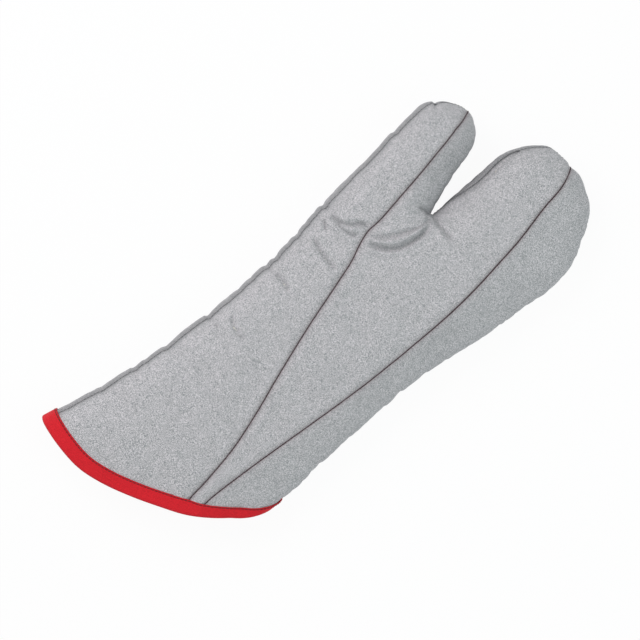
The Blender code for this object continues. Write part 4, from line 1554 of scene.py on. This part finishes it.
@dataclass
class ClothLayer:
    """A closed sheet of cloth or wadding between two depths below the outer surface."""

    name: str
    panels: tuple[Panel, ...]
    node: str
    slot: str
    inner: bool = False
    seam_tint_reach: float = 1.4 * MM
    seam_shade_reach: float = 0.9 * MM
    rim_shade: float = 0.6
    rim_turn: float = 0.3

    def build(self, cloth: GloveCloth, shop: Workshop, top: Array, bottom: Array,
              material: bpy.types.Material) -> bpy.types.Object:
        """Build the layer.

        Args:
            cloth: The glove's outer surface.
            shop: Makes the object.
            top: Depth of its upper face for each point.
            bottom: Depth of its lower face for each point.
            material: Finish.

        Returns:
            The piece.
        """
        source = cloth.coarse if self.inner else cloth.triangles
        triangles = np.array(sum((source[panel] for panel in self.panels), []))
        used = np.unique(triangles)
        place = np.zeros(len(cloth.points), dtype=int)
        place[used] = np.arange(len(used))
        surface = cloth.form if self.inner else cloth.points
        normals = cloth.form_normals if self.inner else cloth.normals
        if self.slot == "wadding":
            top = top + cloth.relief_depth
        outer = (surface - normals * top[:, None])[used]
        inner = (surface - normals * bottom[:, None])[used]
        local = place[triangles]
        count = len(used)
        faces = local.tolist() + (local[:, ::-1] + count).tolist()
        for a, b in outer_edges(local):
            faces.append((b, a, a + count, b + count))
        obj = shop.mesh_object(self.name, np.vstack([outer, inner]), faces, material)
        uv = cloth_map(cloth)[used]
        point_uv(obj, np.vstack([uv, uv]))
        seam = np.minimum(cloth.thumb_gap, cloth.hand_gap)
        near = np.exp(-seam / self.seam_tint_reach)[used]
        # Painted shade along the perimeter seam, and on the back panel where it turns to the side
        # at the rim.
        edge = np.exp(-cloth.edge_gap / self.seam_shade_reach)
        if Panel.BACK in self.panels:
            rim = np.exp(-(normals[:, 2] / self.rim_turn) ** 2)
            edge = np.maximum(edge, self.rim_shade * rim)
        painted_shade = np.clip(np.maximum(cloth.painted_shade, edge), 0, 1)[used]
        point_attribute(obj, "seam_near", np.concatenate([near, near * 0]))
        point_attribute(obj, "painted_shade", np.concatenate([painted_shade, painted_shade]))
        return shop.finish(obj, self.slot, [self.node])


def cloth_map(cloth: GloveCloth) -> Array:
    """Measure over the cloth from its lower left corner, along its rows and its columns.

    Args:
        cloth: The glove's outer surface.

    Returns:
        One place on the flat cloth for each point.
    """
    place = np.zeros((len(cloth.points), 2))
    done = np.zeros(len(cloth.points), dtype=bool)
    for index in cloth.grids:
        for numbers in (index, cloth.back_index[index]):
            points = cloth.form[numbers]
            across = np.linalg.norm(np.diff(points, axis=1), axis=2).cumsum(axis=1)
            up = np.linalg.norm(np.diff(points, axis=0), axis=2).cumsum(axis=0)
            u = np.pad(across, ((0, 0), (1, 0))) + place[numbers[:, :1], 0]
            v = np.pad(up, ((1, 0), (0, 0))) + place[numbers[:1], 1]
            fresh = ~done[numbers]
            place[numbers[fresh]] = np.stack([u, v], axis=-1)[fresh]
            done[numbers] = True
    return place


@dataclass
class CuffBinding:
    """The bias tape folded over the cuff's edge."""

    gap: float = 0.3 * MM
    thickness: float = 0.9 * MM
    slack: float = 0.9 * MM
    bend_share: float = 1.5
    round_steps: int = 9
    row_pitch: float = 1.6
    edge_shade: float = 0.9
    fold_shade: float = 0.6

    def build(self, cloth: GloveCloth, shop: Workshop, total: Array,
              material: bpy.types.Material) -> bpy.types.Object:
        """Carry the folded section round the cuff.

        Args:
            cloth: The glove's outer surface.
            shop: Makes the object.
            total: Depth of all layers for each point.
            material: Finish.

        Returns:
            The piece.
        """
        rows = cloth.cuff_loops()
        edge = rows[0]
        run = np.roll(cloth.form[edge], -1, axis=0) - np.roll(cloth.form[edge], 1, axis=0)
        normal = cloth.form_normals[edge]
        out = np.cross(run, normal)
        out /= np.linalg.norm(out, axis=1)[:, None]
        far, near = self.gap + self.thickness, self.gap
        top = [cloth.form[row] + cloth.form_normals[row] * far for row in rows[::-1]]
        low = [cloth.form[row] - cloth.form_normals[row] * (total[row] + far)[:, None]
               for row in rows]
        half = (total[edge] / 2 + far)[:, None]
        middle = cloth.form[edge] - normal * (total[edge] / 2)[:, None]
        bend = []
        for angle in np.linspace(QUARTER_TURN, -QUARTER_TURN, self.round_steps + 2)[1:-1]:
            reach = self.slack + self.thickness * self.bend_share
            bend.append(middle + normal * half * math.sin(angle) + out * reach * math.cos(angle))
        inner_low = [cloth.form[row] - cloth.form_normals[row] * (total[row] + near)[:, None]
                     for row in rows[::-1]]
        inner_top = [cloth.form[row] + cloth.form_normals[row] * near for row in rows]
        inner_low[-1] = inner_low[-1] + out * self.slack
        inner_top[0] = inner_top[0] + out * self.slack
        section = np.array(top + bend + low + inner_low + inner_top)
        count, ring = section.shape[0], section.shape[1]
        number = np.arange(count * ring).reshape(count, ring)
        a, b = number, np.roll(number, -1, axis=1)
        c, d = np.roll(b, -1, axis=0), np.roll(a, -1, axis=0)
        faces = np.stack([a, b, c, d], axis=-1).reshape(-1, 4)
        obj = shop.mesh_object("cuff_binding_tape", section.reshape(-1, 3), faces[:, ::-1].tolist(),
                               material)
        around = np.pad(np.linalg.norm(np.diff(cloth.form[edge], axis=0), axis=1).cumsum(), (1, 0))
        across = np.arange(count) * self.row_pitch * MM
        uv = np.stack(np.broadcast_arrays(around[None, :], across[:, None]), axis=-1).reshape(-1, 2)
        point_uv(obj, uv @ np.array([[1, 1], [-1, 1]]) / math.sqrt(2))
        point_attribute(obj, "seam_near", np.zeros(count * ring))
        # Painted shade on the tape's outer edge row and on the two rows at its fold.
        shade = np.zeros(count)
        shade[0] = self.edge_shade
        fold = len(top) + len(bend) // 2
        shade[fold - 1:fold + 1] = self.fold_shade
        point_attribute(obj, "painted_shade", np.repeat(shade, ring))
        return shop.finish(obj, "red_binding", ["cuff_binding"])


@dataclass
class StitchRow:
    """A row of stitches along a path, laid out by geometry nodes.

    Attributes:
        rise: Height of a stitch's middle over the path.
        height: Height of the path over the cloth, in millimetres.
        end_sink: Height of a stitch's ends, in radii of the thread.
    """

    name: str
    node: str
    pitch: float
    length: float
    radius: float
    rise: float
    cyclic: bool = False
    height: float = 0.2
    end_sink: float = -1.2
    round_steps: int = 6

    def tree(self) -> bpy.types.NodeTree:
        """Build the node tree that lays stitches along a line of points.

        Returns:
            The geometry node tree.
        """
        tree = bpy.data.node_groups.new(self.name + "_layout", "GeometryNodeTree")
        face = tree.interface
        face.new_socket("Line", in_out="INPUT", socket_type="NodeSocketGeometry")
        for label in ("Pitch", "Stitch Length", "Thread Radius", "Rise"):
            face.new_socket(label, in_out="INPUT", socket_type=FLOAT)
        face.new_socket("Finish", in_out="INPUT", socket_type="NodeSocketMaterial")
        face.new_socket("Stitches", in_out="OUTPUT", socket_type="NodeSocketGeometry")
        bench = NodeBench(tree)
        source, target = bench.add("NodeGroupInput"), bench.add("NodeGroupOutput")
        line = bench.add("GeometryNodeMeshToCurve", {"Mesh": source.outputs["Line"]})
        spaced = bench.add("GeometryNodeResampleCurve", {
            "Curve": line.outputs[0], "Length": source.outputs["Pitch"]}, mode="LENGTH")
        half = bench.math("MULTIPLY", source.outputs["Stitch Length"], 0.5)
        low = bench.math("MULTIPLY", source.outputs["Thread Radius"], self.end_sink)
        start = bench.add("ShaderNodeCombineXYZ", {0: bench.math("MULTIPLY", half, -1.0), 2: low})
        top = bench.add("ShaderNodeCombineXYZ", {2: source.outputs["Rise"]})
        end = bench.add("ShaderNodeCombineXYZ", {0: half, 2: low})
        arch = bench.add("GeometryNodeCurveQuadraticBezier", {
            "Resolution": self.round_steps, "Start": start.outputs[0], "Middle": top.outputs[0],
            "End": end.outputs[0]})
        round_ = bench.add("GeometryNodeCurvePrimitiveCircle", {
            "Resolution": self.round_steps, "Radius": source.outputs["Thread Radius"]})
        stitch = bench.add("GeometryNodeCurveToMesh", {
            "Curve": arch.outputs[0], "Profile Curve": round_.outputs[0], "Fill Caps": True})
        tangent = bench.add("GeometryNodeInputTangent")
        normal = bench.add("GeometryNodeInputNamedAttribute", {"Name": "seam_normal"},
                           data_type="FLOAT_VECTOR")
        turn = bench.add("FunctionNodeAlignRotationToVector", {"Vector": tangent.outputs[0]},
                         axis="X")
        turn = bench.add("FunctionNodeAlignRotationToVector", {
            "Rotation": turn.outputs[0], "Vector": normal.outputs[0]}, axis="Z", pivot_axis="X")
        laid = bench.add("GeometryNodeInstanceOnPoints", {
            "Points": spaced.outputs[0], "Instance": stitch.outputs[0],
            "Rotation": turn.outputs[0]})
        real = bench.add("GeometryNodeRealizeInstances", {0: laid.outputs[0]})
        smooth = bench.add("GeometryNodeSetShadeSmooth", {0: real.outputs[0]})
        done = bench.add("GeometryNodeSetMaterial", {
            "Geometry": smooth.outputs[0], "Material": source.outputs["Finish"]})
        tree.links.new(done.outputs[0], target.inputs[0])
        return tree

    def build(self, points: Array, normals: Array, shop: Workshop, slot: str,
              material: bpy.types.Material) -> bpy.types.Object:
        """Lay the stitches along a line of points.

        Args:
            points: Path of the thread in the pattern's frame.
            normals: Outward direction at each point.
            shop: Makes the object.
            slot: Material slot of the record.
            material: Finish.

        Returns:
            The piece.
        """
        count = len(points)
        mesh = bpy.data.meshes.new(self.name + "_path")
        edges = [(k, k + 1) for k in range(count - 1)] + ([(count - 1, 0)] if self.cyclic else [])
        mesh.from_pydata((points + shop.offset).tolist(), edges, [])
        attribute = mesh.attributes.new("seam_normal", "FLOAT_VECTOR", "POINT")
        attribute.data.foreach_set("vector", normals.astype(np.float32).ravel())
        path = link_object(self.name + "_path", mesh)
        tree = self.tree()
        modifier = path.modifiers.new("stitches", "NODES")
        modifier.node_group = tree
        values = {"Pitch": self.pitch, "Stitch Length": self.length, "Thread Radius": self.radius,
                  "Rise": self.rise, "Finish": material}
        for item in tree.interface.items_tree:
            if item.in_out == "INPUT" and item.name in values:
                modifier[item.identifier] = values[item.name]
        bpy.context.view_layer.update()
        graph = bpy.context.evaluated_depsgraph_get()
        baked = bpy.data.meshes.new_from_object(path.evaluated_get(graph))
        baked.name = self.name
        bpy.data.objects.remove(path)
        bpy.data.node_groups.remove(tree)
        return shop.finish(link_object(self.name, baked), slot, [self.node])


@dataclass
class Layers:
    """Depths of the cloth layers below the outer surface, squeezed together under the binding."""

    shell: float = 0.8 * MM
    wadding: float = 4.5 * MM
    lining: float = 0.7 * MM
    gap: float = 0.3 * MM
    squeeze: float = 0.4

    def depths(self, cloth: GloveCloth) -> dict[str, tuple[Array, Array]]:
        """Find the depths of each layer's two faces.

        Args:
            cloth: The glove's outer surface.

        Returns:
            Both depths of each layer for each point of the cloth, by the layer's name.
        """
        eased = np.clip(cloth.shares / cloth.pattern.sizes.squeezed_share, 0, 1)
        squeeze = self.squeeze + (1 - self.squeeze) * eased
        zero = np.zeros(len(cloth.points))
        shell = (zero, zero + self.shell)
        wadding = (shell[1] + self.gap, shell[1] + self.gap + self.wadding * squeeze)
        lining = (wadding[1] + self.gap, wadding[1] + self.gap + self.lining)
        return {"shell": shell, "wadding": wadding, "lining": lining}


class OvenGlove:
    """The whole glove, dressed."""

    def __init__(self) -> None:
        """Draw the pattern and raise the cloth in the frame's place."""
        self.pattern = GlovePattern(GloveSizes(), GridSizes().curve_steps)
        self.cloth = GloveCloth(self.pattern, GridSizes(), ClothRelief())
        self.finishes = Finishes()
        self.layers = Layers().depths(self.cloth)
        self.shop = Workshop(self.find_offset())

    def find_offset(self) -> Array:
        """Find the shift from the pattern's frame, at the crotch, to that of the CAD nodes.

        Returns:
            The shift.
        """
        low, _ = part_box("shell_back")
        offset = np.array([*self.pattern.sizes.place, low[2] - self.cloth.base[:, 2].min()])
        LOG.info("offset %s", offset)
        return offset

    def build(self) -> None:
        """Build every piece."""
        self.build_layers()
        total = self.layers["lining"][1]
        CuffBinding().build(self.cloth, self.shop, total, self.finishes.binding)
        self.build_seams()

    def build_layers(self) -> None:
        """Build the panels of the shell, the wadding and the lining."""
        f = self.finishes
        plans = (
            (ClothLayer("back_panel", (Panel.BACK,), "shell_back", "aluminized_cloth"), "shell",
             f.aluminized),
            (ClothLayer("thumb_side_panel", (Panel.THUMB_SIDE,), "shell_thumb_side",
                        "aluminized_cloth"), "shell", f.aluminized),
            (ClothLayer("palm_panel", (Panel.PALM,), "shell_palm", "aluminized_cloth"), "shell",
             f.aluminized),
            (ClothLayer("outer_side_panel", (Panel.OUTER_SIDE,), "shell_outer_side",
                        "aluminized_cloth"), "shell", f.aluminized),
            (ClothLayer("front_wadding", FRONT_PANELS, "wadding_front", "wadding", True), "wadding",
             f.wadding),
            (ClothLayer("back_wadding", (Panel.BACK,), "wadding_back", "wadding", True), "wadding",
             f.wadding),
            (ClothLayer("front_lining", FRONT_PANELS, "lining_front", "cotton_lining", True),
             "lining", f.lining),
            (ClothLayer("back_lining", (Panel.BACK,), "lining_back", "cotton_lining", True),
             "lining", f.lining),
        )
        for layer, depth, material in plans:
            piece = layer.build(self.cloth, self.shop, *self.layers[depth], material)
            self.declare(depth)

    def declare(self, depth: str) -> None:
        """Declare nothing: no padded piece and no sheet with its cut size is said here.

        Args:
            depth: Name of its layer.
        """
        if depth == "wadding":
            return

    def build_seams(self) -> None:
        """Sew the front seams, the perimeter seam and the binding."""
        cloth, f = self.cloth, self.finishes
        bound = GridSizes().binding_rows
        front = {"pitch": 2.7 * MM, "length": 2.6 * MM, "radius": 0.46 * MM, "rise": 0.45 * MM}
        seams = (
            (StitchRow("thumb_seam_stitches", "thumb_seam_thread", **front),
             cloth.thumb_seam_line[bound:-1], f.thread),
            (StitchRow("hand_seam_stitches", "hand_seam_thread", **front),
             cloth.hand_seam_line[bound:-1], f.thread),
            (StitchRow("perimeter_stitches", "perimeter_seam_thread", pitch=3.0 * MM,
                       length=2.6 * MM, radius=0.3 * MM, rise=0.4 * MM, height=0.1),
             cloth.perimeter_line[bound:-bound], f.edge_thread),
        )
        for row, line, finish in seams:
            path = cloth.points[line] + cloth.normals[line] * row.height * MM
            row.build(path, cloth.normals[line], self.shop, "sewing_thread", finish)
        binding = StitchRow("binding_stitches", "binding_stitching", pitch=3.1 * MM,
                            length=2.5 * MM, radius=0.34 * MM, rise=0.45 * MM, cyclic=True)
        binding.build(*self.binding_path(), self.shop, "sewing_thread", f.binding_thread)

    def binding_path(self) -> tuple[Array, Array]:
        """Lead the binding's stitches round the cuff, near the tape's inner edge.

        Returns:
            Points of the path, just over the tape, and their normals.
        """
        cloth = self.cloth
        tape, clearance = 1.2 * MM, 0.1 * MM
        *_, lower, _, upper = cloth.cuff_loops()
        form = (cloth.form[lower] + cloth.form[upper]) / 2
        normals = cloth.form_normals[lower] + cloth.form_normals[upper]
        normals /= np.linalg.norm(normals, axis=1)[:, None]
        return form + normals * (tape + clearance), normals


@dataclass(frozen=True)
class AreaLight:
    """A soft square light that points at the glove."""

    name: str
    power: float
    color: Triple
    size: float
    place: Triple

    def build(self) -> None:
        """Hang the light."""
        data = bpy.data.lights.new(self.name, "AREA")
        data.color = self.color
        data.energy = self.power
        data.size = self.size
        light = link_object(self.name, data)
        light.location = self.place
        light.rotation_mode = "QUATERNION"
        light.rotation_quaternion = Vector(-np.array(self.place)).to_track_quat("-Z", "Y")


@dataclass(frozen=True)
class Studio:
    """Floor, backdrop, lights and camera."""

    view: float = 0.512
    lens: float = 200.0
    sensor: float = 36.0
    clip: Pair = (0.1, 50.0)
    centre: Plan = (-0.0059, -0.0041)
    focus_height: float = 0.017
    photo_right: Plan = (0.6074, 0.7944)
    floor_half: float = 3.0
    floor_color: Triple = (0.97, 0.97, 0.97)
    floor_glow: float = 0.94
    world_strength: float = 0.55
    world_tint: Triple = (0.965, 0.995, 1.0)
    lights: tuple[AreaLight, ...] = (
        AreaLight("key_light", 8.5, (1.0, 0.94, 0.975), 0.9, (-1.05, -0.15, 1.05)),
        AreaLight("fill_light", 5.0, (0.82, 0.98, 0.98), 1.2, (0.9, 0.5, 1.3)),
    )

    def build(self) -> None:
        """Set the stage."""
        self.build_floor()
        self.build_world()
        for light in self.lights:
            light.build()
        self.build_camera()
        bpy.context.scene.view_settings.view_transform = "Standard"

    def build_floor(self) -> None:
        """Lay a pale floor that keeps the glove's shadow."""
        mesh = bpy.data.meshes.new("floor")
        half = self.floor_half
        corners = [(-half, -half, 0), (half, -half, 0), (half, half, 0), (-half, half, 0)]
        mesh.from_pydata(corners, [], [(0, 1, 2, 3)])
        floor = link_object("floor", mesh)
        material = bpy.data.materials.new("floor")
        bench = clear_bench(material)
        diffuse = bench.add("ShaderNodeBsdfDiffuse", {"Color": (*self.floor_color, 1)})
        glow = bench.add("ShaderNodeEmission", {"Color": (1, 1, 1, 1), "Strength": 1.0})
        path = bench.add("ShaderNodeLightPath")
        share = bench.math("MULTIPLY", path.outputs["Is Camera Ray"], self.floor_glow)
        mixed = bench.add("ShaderNodeMixShader",
                          {0: share, 1: diffuse.outputs[0], 2: glow.outputs[0]})
        output = bench.add("ShaderNodeOutputMaterial")
        bench.tree.links.new(mixed.outputs[0], output.inputs[0])
        mesh.materials.append(material)

    def build_world(self) -> None:
        """Light softly from all round, and show white to the camera."""
        world = bpy.data.worlds.new("studio")
        bpy.context.scene.world = world
        bench = clear_bench(world)
        path = bench.add("ShaderNodeLightPath")
        seen = bench.math("MAXIMUM", path.outputs["Is Camera Ray"], path.outputs["Is Glossy Ray"])
        strength = bench.span(seen, 0.0, 1.0, self.world_strength, 1.0)
        tint = bench.mix(seen, (*self.world_tint, 1), (1, 1, 1, 1))
        back = bench.add("ShaderNodeBackground", {"Color": tint, "Strength": strength})
        output = bench.add("ShaderNodeOutputWorld")
        bench.tree.links.new(back.outputs[0], output.inputs[0])

    def build_camera(self) -> None:
        """Look straight down at the glove, turned as it lies in the photograph."""
        data = bpy.data.cameras.new("camera")
        data.lens = self.lens
        data.sensor_width = self.sensor
        data.clip_start, data.clip_end = self.clip
        camera = link_object("camera", data)
        distance = self.view * self.lens / self.sensor
        camera.location = (*self.centre, self.focus_height + distance)
        right_x, right_y = self.photo_right
        camera.rotation_euler = (0, 0, math.atan2(right_y, right_x))
        bpy.context.scene.camera = camera


def main() -> None:
    """Dress the glove and set the stage."""
    logging.basicConfig(level=logging.INFO, format="%(name)s: %(message)s")
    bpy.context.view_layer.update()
    glove = OvenGlove()
    glove.build()
    Studio().build()


if __name__ == "__main__":
    main()
